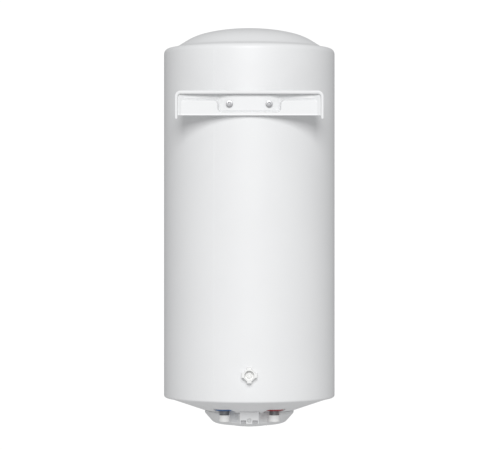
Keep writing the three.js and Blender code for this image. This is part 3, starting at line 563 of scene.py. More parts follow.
# %% Heating marks round the dial
def bar_mark(angle, length, inner_r, z):
    """A low rounded bar that stands on a ray from the axis. Its outline is a superellipse, whose
    two sides are the signed square roots of the cosine and the sine, and from the middle to the
    outline it sinks as the fourth power of the distance."""
    around = turn(16)
    share = np.array([0, 0.5, 0.8, 1, 1, 0])[:, None]
    wide, long = np.sin(around), np.cos(around)
    out = inner_r + length / 2 + share * length / 2 * np.sign(long) * np.sqrt(np.abs(long))
    side = share * 0.5 * MM * np.sign(wide) * np.sqrt(np.abs(wide))
    lift = np.array([0.3, 0.28, 0.18, 0, -0.3, -0.3])[:, None] * MM
    out_x, out_y = np.sin(angle), -np.cos(angle)
    x, y = out * out_x - side * out_y, axis_y + out * out_y + side * out_x
    return np.stack([x, y, z - lift + 0 * x], -1)


mark_angles = np.radians(np.linspace(45, 315, 10))
mark_lengths = np.linspace(2, 6.5, 10) * MM
bars = [bar_mark(a, b, 47.5 * MM, cover_low.z) for a, b in zip(mark_angles, mark_lengths)]
marks = surface("dial_marks", bars, "heater", "bakelite")
print("marks:", len(marks.data.polygons), "faces")

# %% [markdown]
# ## Water connections
# Two half-inch nipples come down through the pads of the end cap. A Screw modifier could wind a
# thread, but its ends would have to be closed by hand. A thread is a helix, so its radius depends on
# the height and on the angle together: that is a wave along the height whose phase moves on by one
# pitch in each turn, and it can fade out where the real one does.

# %% A helix as a wave
def thread(radius, depth, pitch, along, angles):
    """Radius of a thread at distances along its axis and at angles round it: the full radius less
    the depth times a rounded triangle wave of (distance / pitch - angle / turn)."""
    phase = along / pitch - angles / (2 * np.pi)
    wave = np.abs(2 * (phase % 1) - 1)
    return radius - depth * smooth_step(wave, 0.08, 0.92)


nipple_low, nipple_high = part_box("cold_nipple")
thread_r = (nipple_high.x - nipple_low.x) / 2
print("thread radius", round(thread_r, 5))

# %% Threaded nipples
nipple_bore = 8 * MM
pitch, thread_depth = 1.814 * MM, 0.8 * MM
thread_z = np.arange(nipple_low.z, seat_z + 2 * MM, 0.16 * MM)[:, None]
round_nipple = turn(72)
fading = 1 - smooth_step(thread_z, seat_z - 2.5 * MM, seat_z + 0.5 * MM)
outside = thread(thread_r, thread_depth * fading, pitch, thread_z, round_nipple)
outside -= 1.1 * MM * (1 - smooth_step(thread_z, nipple_low.z - 0.2 * MM, nipple_low.z + 1.3 * MM))
plain = np.array([[thread_r, nipple_high.z], [nipple_bore, nipple_high.z]])
bore = np.array([[nipple_bore, nipple_low.z + 0.5 * MM], [nipple_bore + 0.5 * MM, nipple_low.z]])
rest = np.vstack([plain, bore])
radii = np.vstack([outside, rest[:, :1] + 0 * round_nipple])
heights = np.vstack([thread_z, rest[:, 1:]])
for name, side in (("cold", 1), ("hot", -1)):
    grid = turned(radii, heights, round_nipple, side * nipple_x, nipple_y)
    nipple = surface(name + "_nipple_threaded", grid, "heater", "steel", ring=True)
    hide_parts(name + "_nipple")
print("nipple:", len(nipple.data.polygons), "faces")

# %% [markdown]
# ### Coloured rings
# A blue ring marks the cold inlet and a red one the hot outlet. Each is a flat moulding with a soft
# lower edge and fine grips round its rim. A bevelled tube would look the same from far away, but the
# grips need more columns than a bevel gives, so a closed section is turned round the nipple.

# %% Coloured rings
ring_r = (ring_high.x - ring_low.x) / 2
ring_bore = thread_r + 0.4 * MM
ring_corners = [
    [ring_bore, ring_low.z + 0.6 * MM],
    [ring_r - 1.5 * MM, ring_low.z],
    [ring_r, ring_low.z + 0.7 * MM],
    [ring_r, ring_high.z],
    [ring_bore, ring_high.z],
]
ring_section = evenly(rounded(ring_corners, 0.5 * MM), 0.8 * MM)
round_ring = turn(288)
grips = 0.16 * MM * (np.cos(36 * round_ring) - 1)
ring_radii = ring_section[:, :1]
ring_radii = ring_radii + grips * smooth_step(ring_radii, ring_r - 1.2 * MM, ring_r - 0.2 * MM)
for name, side, colour in (("cold", 1, "blue"), ("hot", -1, "red")):
    grid = turned(ring_radii, ring_section[:, 1:], round_ring, side * nipple_x, nipple_y)
    ring = surface(name + "_ring_gripped", grid, "heater", colour, ring=True)
    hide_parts(name + "_ring")
print("ring:", len(ring.data.polygons), "faces")

# %% [markdown]
# ### Transport caps
# A soft cap keeps each thread clean until the heater is connected. It is a thin sleeve with a bead
# at its mouth, a slight taper and a domed end with a mould nib. It is round all over, so one profile
# that runs up its inside and down its outside makes it. It pulls straight off, so it rides on a body
# of its own.

# %% Transport caps
cap_low, cap_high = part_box("cold_cap")
cap_r = (cap_high.x - cap_low.x) / 2
cap_bore = thread_r + 0.32 * MM
cap_inside = nipple_low.z - 0.4 * MM
cap_profile = softened(
    [
        [0, cap_inside],
        [cap_bore, cap_inside],
        [cap_bore, cap_high.z],
        [cap_r - 0.05 * MM, cap_high.z],
        [cap_r - 0.05 * MM, cap_high.z - 1.1 * MM],
        [cap_r - 0.55 * MM, cap_high.z - 1.7 * MM],
        [cap_r, cap_inside + 0.6 * MM],
        [cap_r - 1 * MM, cap_low.z + 1.5 * MM],
        [2.2 * MM, cap_low.z + 0.4 * MM],
        [1.4 * MM, cap_low.z + 0.35 * MM],
        [1.2 * MM, cap_low.z],
        [0, cap_low.z],
    ],
    np.array([0.5, 0.2, 0.3, 0.3, 0.6, 1.2, 2.4, 0.4, 0.2, 0.3]) * MM,
)
for name, side in (("cold", 1), ("hot", -1)):
    grid = revolved(evenly(cap_profile, 0.8 * MM), turn(96), side * nipple_x, nipple_y)
    cap = surface(name + "_cap_moulded", grid, name + "_cap", "cap")
    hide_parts(name + "_cap")
print("cap:", len(cap.data.polygons), "faces")

# %% [markdown]
# ## Cable hatch
# Behind the cover a small hatch closes the cable entry. It stands on three feet with a cable window
# between each pair, and one screw above the middle foot holds it. A box with Booleans and a bevel
# could make it, but the bevel fails where the cut meets the round cover. So each column of its grid
# runs from the lower edge, which steps up over the windows, to the cone of the end cap. The rear
# face is flat but for its rounded edges and the screw's recess, and the front follows the cover.

# %% Outline of the hatch
hatch_low, hatch_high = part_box("cable_hatch")
hatch_half = (hatch_high.x - hatch_low.x) / 2
hatch_rear = hatch_high.y
window_low, window_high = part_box("cable_grommet_left")
window_inner = window_low.x - 0.4 * MM
window_outer = window_high.x + 0.4 * MM
window_top = window_high.z + 0.4 * MM
hatch_screw_low, hatch_screw_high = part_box("hatch_screw")
hatch_screw_z = (hatch_screw_low.z + hatch_screw_high.z) / 2
hatch_head_r = (hatch_screw_high.x - hatch_screw_low.x) / 2
edge = 0.7 * MM


def lower_edge(x):
    """Height of the hatch's lower edge: one step up wherever x is over a cable window."""
    over = (np.abs(x) > window_inner) & (np.abs(x) < window_outer)
    return np.where(over, window_top, hatch_low.z)


def edge_distance(x, z, top):
    """Distance inwards from the hatch's outline, as the least of the distances to its straight
    edges, where the uprights of the windows count only below their top."""
    sides = hatch_half - np.abs(x)
    ends = np.minimum(z - lower_edge(x), top - z)
    middle, half = (window_inner + window_outer) / 2, (window_outer - window_inner) / 2
    past = np.abs(np.abs(x) - middle) - half
    corner = np.hypot(np.clip(past, 0, None), np.clip(z - window_top, 0, None))
    uprights = np.where(past > -1e-6, corner, 1)
    return np.clip(np.minimum(np.minimum(sides, ends), uprights), 0, None)


def rounding(distance):
    """How far a rounded edge falls back at a distance inwards: a quarter circle's height."""
    left = np.clip(edge - distance, 0, edge)
    return edge - np.sqrt(edge**2 - left**2)


print("hatch:", round(2 * hatch_half, 4), "wide, windows from", round(window_inner, 4))

# %% Hatch
def cone_height(radius):
    """Height of the end cap's cone at a radius from the axis."""
    return cap_floor + (radius - cap_flat_r) * cone_slope


def cover_radius(z):
    """Radius of the bottom cover's outside at a height, along its skirt and its upright band."""
    return np.interp(z, [shelf_z, band_z], [shelf_r, cover_r])


near_edges = np.array([0.002, 0.1, 0.25, 0.45, 0.7]) * MM
stops = [window_inner, window_outer]
fine_x = [e + s * near_edges for e in stops for s in (1, -1)]
fine_x = np.concatenate([*fine_x, hatch_half - near_edges, [hatch_half]])
hatch_x = np.unique(np.concatenate([np.linspace(-hatch_half, hatch_half, 101), fine_x, -fine_x]))
rise = np.unique(np.concatenate([[0, 0.004, 0.012, 0.022, 0.035], np.linspace(0.05, 0.95, 46)]))
rise = np.unique(np.concatenate([rise, 1 - rise]))[:, None]
top_rear = cone_height(np.hypot(hatch_x, hatch_rear - axis_y)) - 0.4 * MM
rear_z = lower_edge(hatch_x) + rise * (top_rear - lower_edge(hatch_x))
rear_y = hatch_rear - rounding(edge_distance(hatch_x, rear_z, top_rear))
from_screw = np.hypot(hatch_x, rear_z - hatch_screw_z)
sink_r, sink_depth = hatch_head_r + 0.4 * MM, 3 * MM
rear_y = rear_y - sink_depth * (1 - smooth_step(from_screw, sink_r, sink_r + 0.3 * MM))
front_y = axis_y + np.sqrt((cover_radius(rear_z) + 0.4 * MM) ** 2 - hatch_x**2) + 0 * rear_z
top_front = cone_height(np.hypot(hatch_x, front_y[-1] - axis_y)) - 0.4 * MM
front_z = lower_edge(hatch_x) + rise * (top_front - lower_edge(hatch_x))
rear = np.stack([hatch_x + 0 * rear_z, rear_y, rear_z], -1)
front = np.stack([hatch_x + 0 * rear_z, front_y, front_z], -1)[::-1]
loop = np.concatenate([rear, front])


def pinched(column):
    """An end column whose front and rear points meet halfway, which closes that end."""
    halfway = (column + column[::-1]) / 2
    return halfway[:, None]


grid = np.concatenate([pinched(loop[:, 0]), loop, pinched(loop[:, -1])], 1)
hatch = surface("cable_hatch_moulded", grid, "heater", "plastic", wrap=False, ring=True)
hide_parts("cable_hatch")
print("hatch:", len(hatch.data.polygons), "faces")

# %% [markdown]
# ### Membranes
# A soft membrane closes each cable window. The fitter pierces it, and it then grips the cable. Its
# face is dished and ringed, so that it can be cut to the cable's size. Its corners are only slightly
# round, which a superellipse gives with one exponent and a bevelled box only with several steps.
# Its mid grey finish is painted shade: it is darker than the hatch so that each window looks shaded.

# %% Membranes in the cable windows
def membrane(name):
    """A pillow whose outline is a superellipse, |cos|^8 + |sin|^8 to the power -1/8. Rows go from
    the rear face's middle out to the rim, over it and back on the front face."""
    low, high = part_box(name)
    half_x, half_z = (high.x - low.x) / 2, (high.z - low.z) / 2
    angles = turn(64)
    c, s = np.cos(angles), np.sin(angles)
    reach = (np.abs(c) ** 8 + np.abs(s) ** 8) ** (-1 / 8)
    rear_share = np.linspace(0, 0.97, 26)
    share = np.concatenate([rear_share, [0.99, 1, 1, 0.99, 0.6, 0]])[:, None]
    dish = 2.4 * MM * (1 - rear_share**6) + 0.14 * MM * np.cos(rear_share * 9 * np.pi)
    depth = np.concatenate([dish + 0.2 * MM, np.array([0.25, 0.5, 3.6, 3.9, 4, 4]) * MM])[:, None]
    x = (low.x + high.x) / 2 + share * half_x * reach * c
    z = (low.z + high.z) / 2 + share * half_z * reach * s
    grid = np.stack([x, high.y - depth + 0 * x, z], -1)
    # The piece takes the mid grey finish that is painted shade for the inside of its window.
    piece = surface(name + "_moulded", grid, "heater", "membrane")
    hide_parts(name)
    return piece


for name in ("cable_grommet_left", "cable_grommet_right"):
    made = membrane(name)
print("membrane:", len(made.data.polygons), "faces")

# %% [markdown]
# ## Screws
# Two hexagon socket bolts hold the bracket, and cross-headed screws hold the cover, the hatch and
# the spacer. Each could be a stock screw scaled to fit, but scaling spoils the pitch and the recess.
# Here a screw is a profile turned round its own axis: a head with a soft edge, the underside and a
# shank with a helical thread. The tool's recess is pushed into the head's face wherever a point lies
# inside a cross or a hexagon. One function makes all of them, towards the wall or downwards.

# %% Recesses as distances
def cross_recess(u, v, size):
    """1 inside a cross of two bars with tapered ends, and 0 outside."""
    thin = np.minimum(np.abs(u), np.abs(v))
    long = np.maximum(np.abs(u), np.abs(v))
    bar = 1 - smooth_step(thin, 0.14 * size, 0.24 * size)
    return bar * (1 - smooth_step(long, 0.5 * size, 0.72 * size))


def hex_recess(u, v, size):
    """1 inside a hexagon, where the greatest of the distances along its three normals is small."""
    normals = np.radians([30, 90, 150])
    reach = np.max([np.abs(u * np.cos(a) + v * np.sin(a)) for a in normals], 0)
    return 1 - smooth_step(reach, 0.44 * size, 0.47 * size)


print("recess shapes ready")

# %% Screw
def screw(name, head_r, head_h, shank_r, pitch, recess, depth, towards_wall, slot="steel"):
    """A screw in the place of a CAD one. Distances run from the head's face to the tip, and the
    radius of the shank is a thread whose depth fades towards the head."""
    low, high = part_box(name)
    length = high.y - low.y if towards_wall else high.z - low.z
    angles = turn(96)
    face_r = np.linspace(0, head_r - 0.7 * MM, 44)
    face = np.stack([face_r, 0.35 * MM * (face_r / head_r) ** 2], 1)
    side = softened(
        [
            face[-1],
            [head_r, 0.4 * MM],
            [head_r, head_h],
            [shank_r, head_h],
            [shank_r, head_h + 0.4 * MM],
        ],
        np.array([0.5, 0.3, 0.3]) * MM,
    )
    along = np.arange(head_h + 0.5 * MM, length - shank_r, pitch / 7)
    shank = np.stack([shank_r + 0 * along, along], 1)
    tip = np.array([[0.45 * shank_r, length - 0.3 * shank_r], [0, length]])
    profile = np.vstack([face, side[1:], shank, tip])
    w = profile[:, 1:]
    on_shank = smooth_step(w, head_h + 0.6 * MM, head_h + 2 * MM) * (profile[:, :1] > 0.5 * shank_r)
    r = thread(profile[:, :1], 0.14 * shank_r * on_shank, pitch, w, angles)
    u, v = r * np.cos(angles), r * np.sin(angles)
    w = w + depth * recess(u, v, head_r) * (np.arange(len(w)) < len(face))[:, None]
    x = (low.x + high.x) / 2 + u
    if towards_wall:
        grid = np.stack([x, high.y - w + 0 * u, (low.z + high.z) / 2 + v], -1)
    else:
        grid = np.stack([x, (low.y + high.y) / 2 + v, low.z + w + 0 * u], -1)
    piece = surface(name + "_turned", grid, "heater", slot, flat_below=28)
    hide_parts(name)
    return piece


for side in ("left", "right"):
    bolt = screw("bracket_screw_" + side, 7 * MM, 4 * MM, 4 * MM, 1.25 * MM, hex_recess, 2.6 * MM, True)
    screw("cover_screw_" + side, 4 * MM, 2.2 * MM, 2 * MM, 1.6 * MM, cross_recess, 1.4 * MM, False)
screw("hatch_screw", hatch_head_r, 2 * MM, 2 * MM, 1.6 * MM, cross_recess, 1.3 * MM, True, "plastic")
screw("spacer_screw", 5.5 * MM, 2.8 * MM, 2.2 * MM, 1.8 * MM, cross_recess, 1.5 * MM, True, "cap")
print("bolt:", len(bolt.data.polygons), "faces")

# %% [markdown]
# ## Lugs behind the bracket
# Two tapped lugs are welded to the tank and carry the bracket through the foam. A lug is a short
# tube that points at the wall, and its inner end follows the round tank. A Boolean with the tank
# could shape that end. It is simpler to work out where the tank's surface lies for each point.

# %% Welded lugs behind the bracket
tank_low, tank_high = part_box("inner_tank")
tank_r = (tank_high.x - tank_low.x) / 2


def lug(name):
    """A closed section of [radius, share of the length], turned round the lug's own axis. A share
    of 0 is the tank's surface at that x, and 1 is the lug's face under the bracket."""
    low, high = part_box(name)
    radius, hole = (high.z - low.z) / 2, 4.4 * MM
    middle = (low.x + high.x) / 2
    section = np.array([[hole, 0], [radius, 0], [radius, 0.985], [radius - 0.6 * MM, 1], [hole, 1]])
    angles = turn(64)
    x = middle + section[:, :1] * np.sin(angles)
    z = (low.z + high.z) / 2 + section[:, :1] * np.cos(angles)
    start = axis_y + np.sqrt((tank_r + 0.4 * MM) ** 2 - x**2)
    y = start + section[:, 1:] * (high.y - start)
    piece = surface(name + "_turned", np.stack([x, y, z], -1), "heater", "steel", ring=True)
    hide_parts(name)
    return piece


for side in ("left", "right"):
    made = lug("tank_lug_" + side)
print("lug:", len(made.data.polygons), "faces")

# %% [markdown]
# ## Power lamp
# The lens glows while the element is on. It is a low dome with a shoulder that rests on the cover's
# floor, and a solid light guide behind it. It is round, so a turned profile is enough.

# %% Power lamp
lamp_low, lamp_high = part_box("power_lamp")
lamp_r = (lamp_high.x - lamp_low.x) / 2
lens_profile = softened(
    [
        [0, lamp_low.z],
        [0.7 * lamp_r, lamp_low.z + 0.05 * MM],
        [lamp_r + 0.5 * MM, cover_low.z - 0.05 * MM],
        [lamp_r, cover_low.z],
        [lamp_r, lamp_high.z],
        [0, lamp_high.z],
    ],
    np.array([2, 0.3, 0.1, 0.5]) * MM,
)
lamp_place = ((lamp_low.x + lamp_high.x) / 2, (lamp_low.y + lamp_high.y) / 2)
lens = surface("power_lamp_lens", revolved(lens_profile, turn(64), *lamp_place), "heater", "lens")
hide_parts("power_lamp")
print("lens:", len(lens.data.polygons), "faces")

# %% [markdown]
# ## Wall bracket
# The bracket is one pressed sheet: a shallow tray, open below, whose rim folds back to a lip that
# lies on the wall. Subdivision over a coarse cage would round every bend alike, though a press gives
# each its own radius. So the rim is one section carried along a path that goes up one side, round
# two corners and down the other. The web inside it is a height for each place, with a raised pad on
# either side and a T-shaped hollow between them for the bolts. Both get the sheet's thickness from
# Solidify.

# %% Path of the rim
sheet_metal = 1.5 * MM
bracket_half = (bracket_high.x - bracket_low.x) / 2
web_y = -8 * MM
web_bottom = -47.3 * MM
corner_r = 12 * MM


def rim_path():
    """Points of the rim's outer edge in (x, z), with the inward direction at each: up the left
    side, a quarter circle, along the top, a quarter circle and down the right side."""
    tab = np.concatenate([np.linspace(0, 3, 9), [5, 7.8, 12, 20, 30, 40]]) * MM + bracket_low.z
    tab = np.append(tab, bracket_high.z - corner_r)
    left = np.stack([-bracket_half + 0 * tab, tab], 1)
    arc = np.radians(np.linspace(180, 90, 13))[1:]
    centre = np.array([corner_r - bracket_half, bracket_high.z - corner_r])
    bend = centre + corner_r * np.stack([np.cos(arc), np.sin(arc)], 1)
    top = np.stack([np.linspace(bend[-1, 0], 0, 15), bracket_high.z + np.zeros(15)], 1)[1:]
    half = np.vstack([left, bend, top])
    inward = np.vstack([
        np.tile([1.0, 0.0], (len(left), 1)),
        -np.stack([np.cos(arc), np.sin(arc)], 1),
        np.tile([0.0, -1.0], (len(top), 1)),
    ])
    mirror = np.array([-1, 1])
    return np.vstack([half, half[-2::-1] * mirror]), np.vstack([inward, inward[-2::-1] * mirror])


path_points, path_inward = rim_path()
print("rim path:", len(path_points), "points")

# %% Rim
# The lip is 7.2 mm wide along the top and 6 mm at the sides, and its inner edge is slightly rolled
# in. Both tabs end in a half circle.
lip_width = 6 * MM + 1.2 * MM * smooth_step(path_points[:, 1], -14 * MM, 2 * MM)
flange_points = softened(
    [[0, 0], [0, web_y - sheet_metal], [5 * MM, web_y - sheet_metal]], 2.4 * MM, 9
)
lip_bend = softened([[3 * MM, 0], [0, 0], [0, -3 * MM]], 2 * MM, 9)
section_in = np.concatenate([[0, 0, 0], lip_bend[1:-1, 0], flange_points[1:, 0]])
rolled = np.array([-1.6, -0.5, -0.1]) * MM
section_y = np.concatenate([rolled, lip_bend[1:-1, 1], flange_points[1:, 1]])
inner_share = np.zeros(len(section_in))
inner_share[:3] = [1, 0.8, 0.6]
from_edge = section_in + inner_share * lip_width[:, None]
tab_r = 3 * MM
from_end = np.clip(path_points[:, 1] - bracket_low.z, 0, tab_r)
half_width = np.sqrt(tab_r**2 - (tab_r - from_end) ** 2) / tab_r
half_width = np.maximum(half_width, 0.12)
from_edge = tab_r + (from_edge - tab_r) * half_width[:, None]
flat = path_points[:, None] + from_edge[..., None] * path_inward[:, None]
grid = np.stack([flat[..., 0], section_y + 0 * from_edge, flat[..., 1]], -1)
rim = surface("wall_bracket_rim", grid, "heater", "enamel", wrap=False, facing=(0, 1, 0))
thicken(rim, sheet_metal)
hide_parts("wall_bracket")
print("rim:", len(rim.data.polygons), "faces")

# %% Web
# The hollow is all that lies outside the two pads: a foot in the middle, a bar along the top that
# the foot joins smoothly, and a strip down either side. A crease runs along its edge, where the
# press bends the sheet most, and the web's top corners follow the rim's.
web_z = np.linspace(web_bottom, bracket_high.z - 1.6 * MM, 90)[:, None]
into_corner = np.clip(web_z - (bracket_high.z - corner_r), 0, None)
web_half = bracket_half - corner_r + np.sqrt((corner_r - 1.6 * MM) ** 2 - into_corner**2)
web_x = np.linspace(-1, 1, 305) * web_half
wide = np.abs(web_x)
high_z = web_z + 0 * web_x
pad_y = -5.5 * MM


def past_corner(over_x, over_z, corner):
    """Distance to a rounded corner, from how far a place lies past each of its two sides: the
    distance from the corner's centre less its radius, or the nearer side's where that is inside."""
    out_x, out_z = over_x + corner, over_z + corner
    from_centre = np.hypot(np.clip(out_x, 0, None), np.clip(out_z, 0, None))
    return from_centre + np.minimum(np.maximum(out_x, out_z), 0) - corner


foot_half, foot_bottom = 64.3 * MM, -40.5 * MM
pad_outer, pad_top = 140.5 * MM, -15.5 * MM
press_corner = 8 * MM
off_foot = past_corner(wide - foot_half, foot_bottom - high_z, press_corner)
off_pad = past_corner(wide - pad_outer, high_z - pad_top, press_corner)
off_hollow = smaller(off_foot, -off_pad, 9.4 * MM)
hollow = 1 - smooth_step(off_hollow, -1.7 * MM, 1.7 * MM)
crease = np.exp(-((off_hollow / MM + 1.2) ** 2) / 1.4) * (1 - smooth_step(wide, 126 * MM, 140 * MM))
hollow_y = -9.5 * MM - 6.5 * MM * np.minimum(wide / (62 * MM), 1) ** 5
hollow_y += 8 * MM * smooth_step(wide, 62 * MM, 140 * MM)
hollow_y += 5 * MM * smooth_step(wide, 132 * MM, 148 * MM)
hem = 1 - smooth_step(high_z, web_bottom - 0.5 * MM, web_bottom + 3 * MM)
crease_depth, hem_height = 2.2 * MM, 1 * MM
depth = pad_y + hollow * (hollow_y - pad_y) - crease_depth * crease + hem_height * hem
grid = np.stack([web_x, depth, high_z], -1)
web = surface("wall_bracket_web", grid, "heater", "enamel", wrap=False, facing=(0, 1, 0))
thicken(web, sheet_metal - 0.1 * MM)
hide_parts("wall_bracket")
print("web:", len(web.data.polygons), "faces")

# %% [markdown]
# ## Wall spacer
# A moulded foot keeps the lower end of the heater off the wall. Its outline is a diamond with four
# square lobes. Joined boxes would need their inner faces removed. In polar form the outline is the
# larger of a cross and a diamond at each angle, so the whole foot is rings of points round its own
# middle, and its front follows the round casing.

# %% Spacer
spacer_low, spacer_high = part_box("wall_spacer")
spacer_z = (spacer_low.z + spacer_high.z) / 2
spacer_half = (spacer_high.x - spacer_low.x) / 2
lobe_half = 4.65 * MM
diamond_reach = 17 * MM


def bar_reach(c, s, half_long, half_thin):
    """Distance from the middle of a bar to its outline, along a direction."""
    return np.minimum(half_long / np.maximum(np.abs(c), 1e-9), half_thin / np.maximum(np.abs(s), 1e-9))


def spacer_outline(angles):
    """The larger of an upright bar, a level bar and a diamond with cut corners."""
    c, s = np.cos(angles), np.sin(angles)
    level, upright = (bar_reach(u, v, spacer_half, lobe_half) for u, v in ((c, s), (s, c)))
    bars = np.maximum(level, upright)
    diamond = diamond_reach / (np.abs(c) + np.abs(s))
    return np.maximum(bars, np.minimum(diamond, spacer_half - 2 * MM))


lobe_corner = np.degrees(np.arctan2(lobe_half, spacer_half))
stations = [90 * k + s * lobe_corner for k in range(4) for s in (-1, 1)]
round_spacer = angles_with([(a - 2, a + 2, 13) for a in np.mod(stations, 360)], 180)
outline = spacer_outline(round_spacer)
bore_r, bore_floor = 9.75 * MM, spacer_low.y + 2.4 * MM
hole_r = 2.6 * MM
behind = casing_radius - np.sqrt(casing_radius**2 - (outline * np.cos(round_spacer)) ** 2)
round_one = np.ones_like(outline)
spacer_rows = [
    (hole_r * round_one, bore_floor + 0 * outline),
    (bore_r * round_one, bore_floor + 0 * outline),
    ((bore_r + 0.15 * MM) * round_one, -0.5 * MM + 0 * outline),
    ((bore_r + 0.5 * MM) * round_one, 0 * outline),
    (outline - 0.8 * MM, 0 * outline),
    (outline - 0.25 * MM, -0.2 * MM + 0 * outline),
    (outline, -0.8 * MM + 0 * outline),
    (outline + 0.2 * MM, spacer_low.y + 1.5 * MM + 0 * outline),
    (outline + 0.2 * MM, spacer_low.y - behind),
    (hole_r * round_one, spacer_low.y + 0 * outline),
]
along_x, along_z = np.cos(round_spacer), np.sin(round_spacer)
rings = [np.stack([r * along_x, y, spacer_z + r * along_z], -1) for r, y in spacer_rows]
grid = np.stack(rings)
spacer = surface("wall_spacer_moulded", grid, "heater", "cap", ring=True)
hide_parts("wall_spacer")
print("spacer:", len(spacer.data.polygons), "faces")

# %% [markdown]
# ## Floor
# The floor only catches light and shade far below the heater. A round disc has no corner to show.

# %% Floor
floor_z, floor_r = -1.35, 2.5
disc = revolved(np.array([[0, floor_z], [floor_r, floor_z]]), turn(96))
floor = surface("floor", disc, "heater", "enamel", facing=(0, 0, 1))
floor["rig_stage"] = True
print("floor at", floor_z)

# %% [markdown]
# ## Finishes
# The heater is powder-coated sheet, moulded plastic, soft caps and a few metals. One plain colour
# for each would look like a toy, and an image texture would show where it repeats. So each finish is
# a small group of nodes with the same plan. A fine noise bends the light a little, as the grain of a coating
# or a mould does. A broad noise moves the colour and the gloss slightly, since no real surface is
# quite even. Both read Object coordinates, in metres, so a scale of 400 gives marks about 2.5 mm
# apart. What is the same all over stays on the shader's own sockets.

# %% The plan of a finish
def finish_nodes(name):
    """A new material with its shader, and its Object coordinates."""
    made = bpy.data.materials.new(name)
    made.use_nodes = True
    tree = made.node_tree
    shader = tree.nodes["Principled BSDF"]
    place = tree.nodes.new("ShaderNodeTexCoord").outputs["Object"]
    return made, tree, shader, place


def noise(tree, place, scale, detail=3, stretch=None):
    """Noise at a scale per metre. A stretch of (x, y, z) squeezes it along the larger ones."""
    if stretch is not None:
        mapping = tree.nodes.new("ShaderNodeMapping")
        mapping.inputs["Scale"].default_value = stretch
        tree.links.new(place, mapping.inputs["Vector"])
        place = mapping.outputs["Vector"]
    node = tree.nodes.new("ShaderNodeTexNoise")
    node.inputs["Scale"].default_value = scale
    node.inputs["Detail"].default_value = detail
    tree.links.new(place, node.inputs["Vector"])
    return node.outputs["Fac"]


def between(tree, share, low, high, from_low=0.3, from_high=0.7):
    """A number that goes from low to high as the share goes over its usual span."""
    node = tree.nodes.new("ShaderNodeMapRange")
    ends = {"From Min": from_low, "From Max": from_high, "To Min": low, "To Max": high}
    for socket, value in ends.items():
        node.inputs[socket].default_value = value
    tree.links.new(share, node.inputs["Value"])
    return node.outputs["Result"]


def blended(tree, share, first, second, low=0.3, high=0.7):
    """A colour that goes from the first to the second as the share rises."""
    ramp = tree.nodes.new("ShaderNodeValToRGB")
    ramp.color_ramp.elements[0].position = low
    ramp.color_ramp.elements[1].position = high
    ramp.color_ramp.elements[0].color = (*first, 1)
    ramp.color_ramp.elements[1].color = (*second, 1)
    tree.links.new(share, ramp.inputs["Fac"])
    return ramp.outputs["Color"]


def bumped(tree, shader, heights):
    """Stacks bumps of (height, depth in metres) and gives the last one's normal to the shader."""
    normal = None
    for height, depth in heights:
        bump = tree.nodes.new("ShaderNodeBump")
        bump.inputs["Distance"].default_value = depth
        tree.links.new(height, bump.inputs["Height"])
        if normal is not None:
            tree.links.new(normal, bump.inputs["Normal"])
        normal = bump.outputs["Normal"]
    tree.links.new(normal, shader.inputs["Normal"])


def shade(colour, factor):
    """A colour times a factor, with no channel above 1."""
    return tuple(min(1, c * factor) for c in colour)


print("finish helpers ready")

# %% Powder coat, mouldings and soft caps
def coating(name, colour, rough, grain, depth, spread=0.02, coat=0.0):
    """A dielectric finish: a fine grain over a broader ripple, with colour and gloss that drift."""
    made, tree, shader, place = finish_nodes(name)
    drift = noise(tree, place, 9, 4)
    fine = noise(tree, place, grain, 2)
    ripple = noise(tree, place, grain / 5, 2)
    tone = blended(tree, drift, shade(colour, 1 - spread), shade(colour, 1 + spread))
    tree.links.new(tone, shader.inputs["Base Color"])
    gloss = between(tree, noise(tree, place, 40, 5), rough - 0.05, rough + 0.05)
    tree.links.new(gloss, shader.inputs["Roughness"])
    bumped(tree, shader, [(ripple, 1.5 * depth), (fine, depth)])
    shader.inputs["Coat Weight"].default_value = coat
    return made


finishes = {
    "enamel": coating("enamel", (0.86, 0.865, 0.87), 0.42, 700, 1.2e-5, 0.008),
    "plastic": coating("plastic", (0.83, 0.835, 0.84), 0.5, 2200, 1.5e-5, 0.012),
    "cap": coating("cap", (0.9, 0.9, 0.89), 0.45, 900, 1.5e-5, 0.012),
    "blue": coating("blue", (0.055, 0.14, 0.33), 0.45, 1800, 1.5e-5, 0.06),
    "red": coating("red", (0.36, 0.045, 0.055), 0.45, 1800, 1.5e-5, 0.06),
    "rubber": coating("rubber", (0.03, 0.03, 0.032), 0.75, 2500, 2e-5, 0.15),
    # Painted shade: this mid grey darkens the cable windows as shade would.
    "membrane": coating("membrane", (0.6, 0.6, 0.61), 0.65, 2000, 1.5e-5, 0.03),
    "bakelite": coating("bakelite", (0.025, 0.025, 0.028), 0.4, 1500, 1e-5, 0.2),
    "tank": coating("tank", (0.05, 0.1, 0.19), 0.25, 260, 4e-5, 0.18, coat=0.4),
}
print("coatings:", ", ".join(finishes))

# %% [markdown]
# ### Metals
# Worked metal shows fine marks along the way it was turned or drawn, and it dulls in patches. The
# marks could be drawn as an image, but a noise squeezed along one axis needs no map and no seam.

# %% Metals
def metal(name, colour, rough, marks, depth, stretch, dull):
    """A metal with stretched marks. The dull colour spreads where a broad noise is high, and the
    surface is rougher there."""
    made, tree, shader, place = finish_nodes(name)
    shader.inputs["Metallic"].default_value = 1
    patches = noise(tree, place, 120, 6)
    lines = noise(tree, place, marks, 3, stretch)
    tree.links.new(blended(tree, patches, colour, dull, 0.42, 0.72), shader.inputs["Base Color"])
    tree.links.new(between(tree, patches, rough - 0.08, rough + 0.14), shader.inputs["Roughness"])
    bumped(tree, shader, [(lines, depth)])
    return made


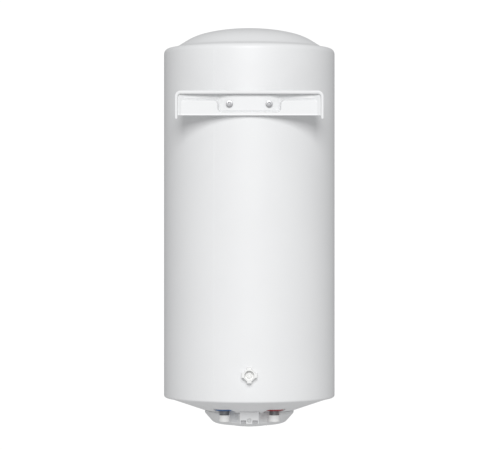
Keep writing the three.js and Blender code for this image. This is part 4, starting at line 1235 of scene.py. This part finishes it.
finishes["steel"] = metal("steel", (0.45, 0.45, 0.46), 0.38, 900, 1.2e-5, (1, 1, 9), (0.33, 0.33, 0.34))
finishes["copper"] = metal("copper", (0.62, 0.28, 0.14), 0.3, 700, 1e-5, (7, 7, 1), (0.3, 0.14, 0.09))
dull_magnesium = (0.3, 0.3, 0.28)
finishes["magnesium"] = metal("magnesium", (0.42, 0.42, 0.4), 0.6, 350, 8e-5, (1, 1, 1), dull_magnesium)
print("metals: steel, copper, magnesium")

# %% [markdown]
# ### Foam, lens and earth wire
# Three finishes need a pattern of their own: foam has cells, an amber lens lets light through, and
# the earth wire is striped. Each starts from the same plan and adds the one node that it needs.

# %% Foam, lens and earth wire
def foam_finish():
    """Closed-cell foam: cells from a Voronoi pattern, under a yellow that darkens in patches."""
    made, tree, shader, place = finish_nodes("foam")
    cells = tree.nodes.new("ShaderNodeTexVoronoi")
    cells.inputs["Scale"].default_value = 650
    tree.links.new(place, cells.inputs["Vector"])
    tone = blended(tree, noise(tree, place, 18, 5), (0.66, 0.53, 0.22), (0.78, 0.67, 0.35))
    tree.links.new(tone, shader.inputs["Base Color"])
    distance = cells.outputs["Distance"]
    tree.links.new(between(tree, distance, 0.85, 1, 0, 0.8), shader.inputs["Roughness"])
    bumped(tree, shader, [(distance, 4e-4)])
    return made


def lens_finish():
    """Amber lens: most of the light goes through, and fine flow marks bend it."""
    made, tree, shader, place = finish_nodes("lens")
    shader.inputs["Transmission Weight"].default_value = 0.55
    shader.inputs["Coat Weight"].default_value = 0.5
    tone = blended(tree, noise(tree, place, 300), (0.5, 0.1, 0.015), (0.62, 0.16, 0.03))
    tree.links.new(tone, shader.inputs["Base Color"])
    tree.links.new(between(tree, noise(tree, place, 500), 0.1, 0.2), shader.inputs["Roughness"])
    bumped(tree, shader, [(noise(tree, place, 600), 1e-5)])
    return made


def earth_finish():
    """Earth insulation: yellow with a green stripe, from a sine of the place across the wire."""
    made, tree, shader, place = finish_nodes("earth")
    bands = tree.nodes.new("ShaderNodeTexWave")
    bands.inputs["Scale"].default_value = 90
    bands.inputs["Distortion"].default_value = 1
    tree.links.new(place, bands.inputs["Vector"])
    tone = blended(tree, bands.outputs["Fac"], (0.55, 0.47, 0.03), (0.03, 0.22, 0.04), 0.48, 0.52)
    tree.links.new(tone, shader.inputs["Base Color"])
    tree.links.new(between(tree, noise(tree, place, 400), 0.4, 0.55), shader.inputs["Roughness"])
    bumped(tree, shader, [(noise(tree, place, 900), 1e-5)])
    return made


finishes["foam"] = foam_finish()
finishes["lens"] = lens_finish()
finishes["earth"] = earth_finish()
print("finishes:", len(finishes))

# %% Give every piece its finish
# A new piece has its slot's name. A CAD node that stays shows the slot of the material it came with.
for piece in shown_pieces():
    if "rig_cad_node" in piece:
        for place in piece.material_slots:
            place.material = finishes[place.material.name.split(".")[0]]
    else:
        piece.data.materials.append(finishes[piece["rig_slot"]])
floor.data.materials.append(coating("floor_paint", (0.86, 0.86, 0.86), 0.7, 60, 2e-5))
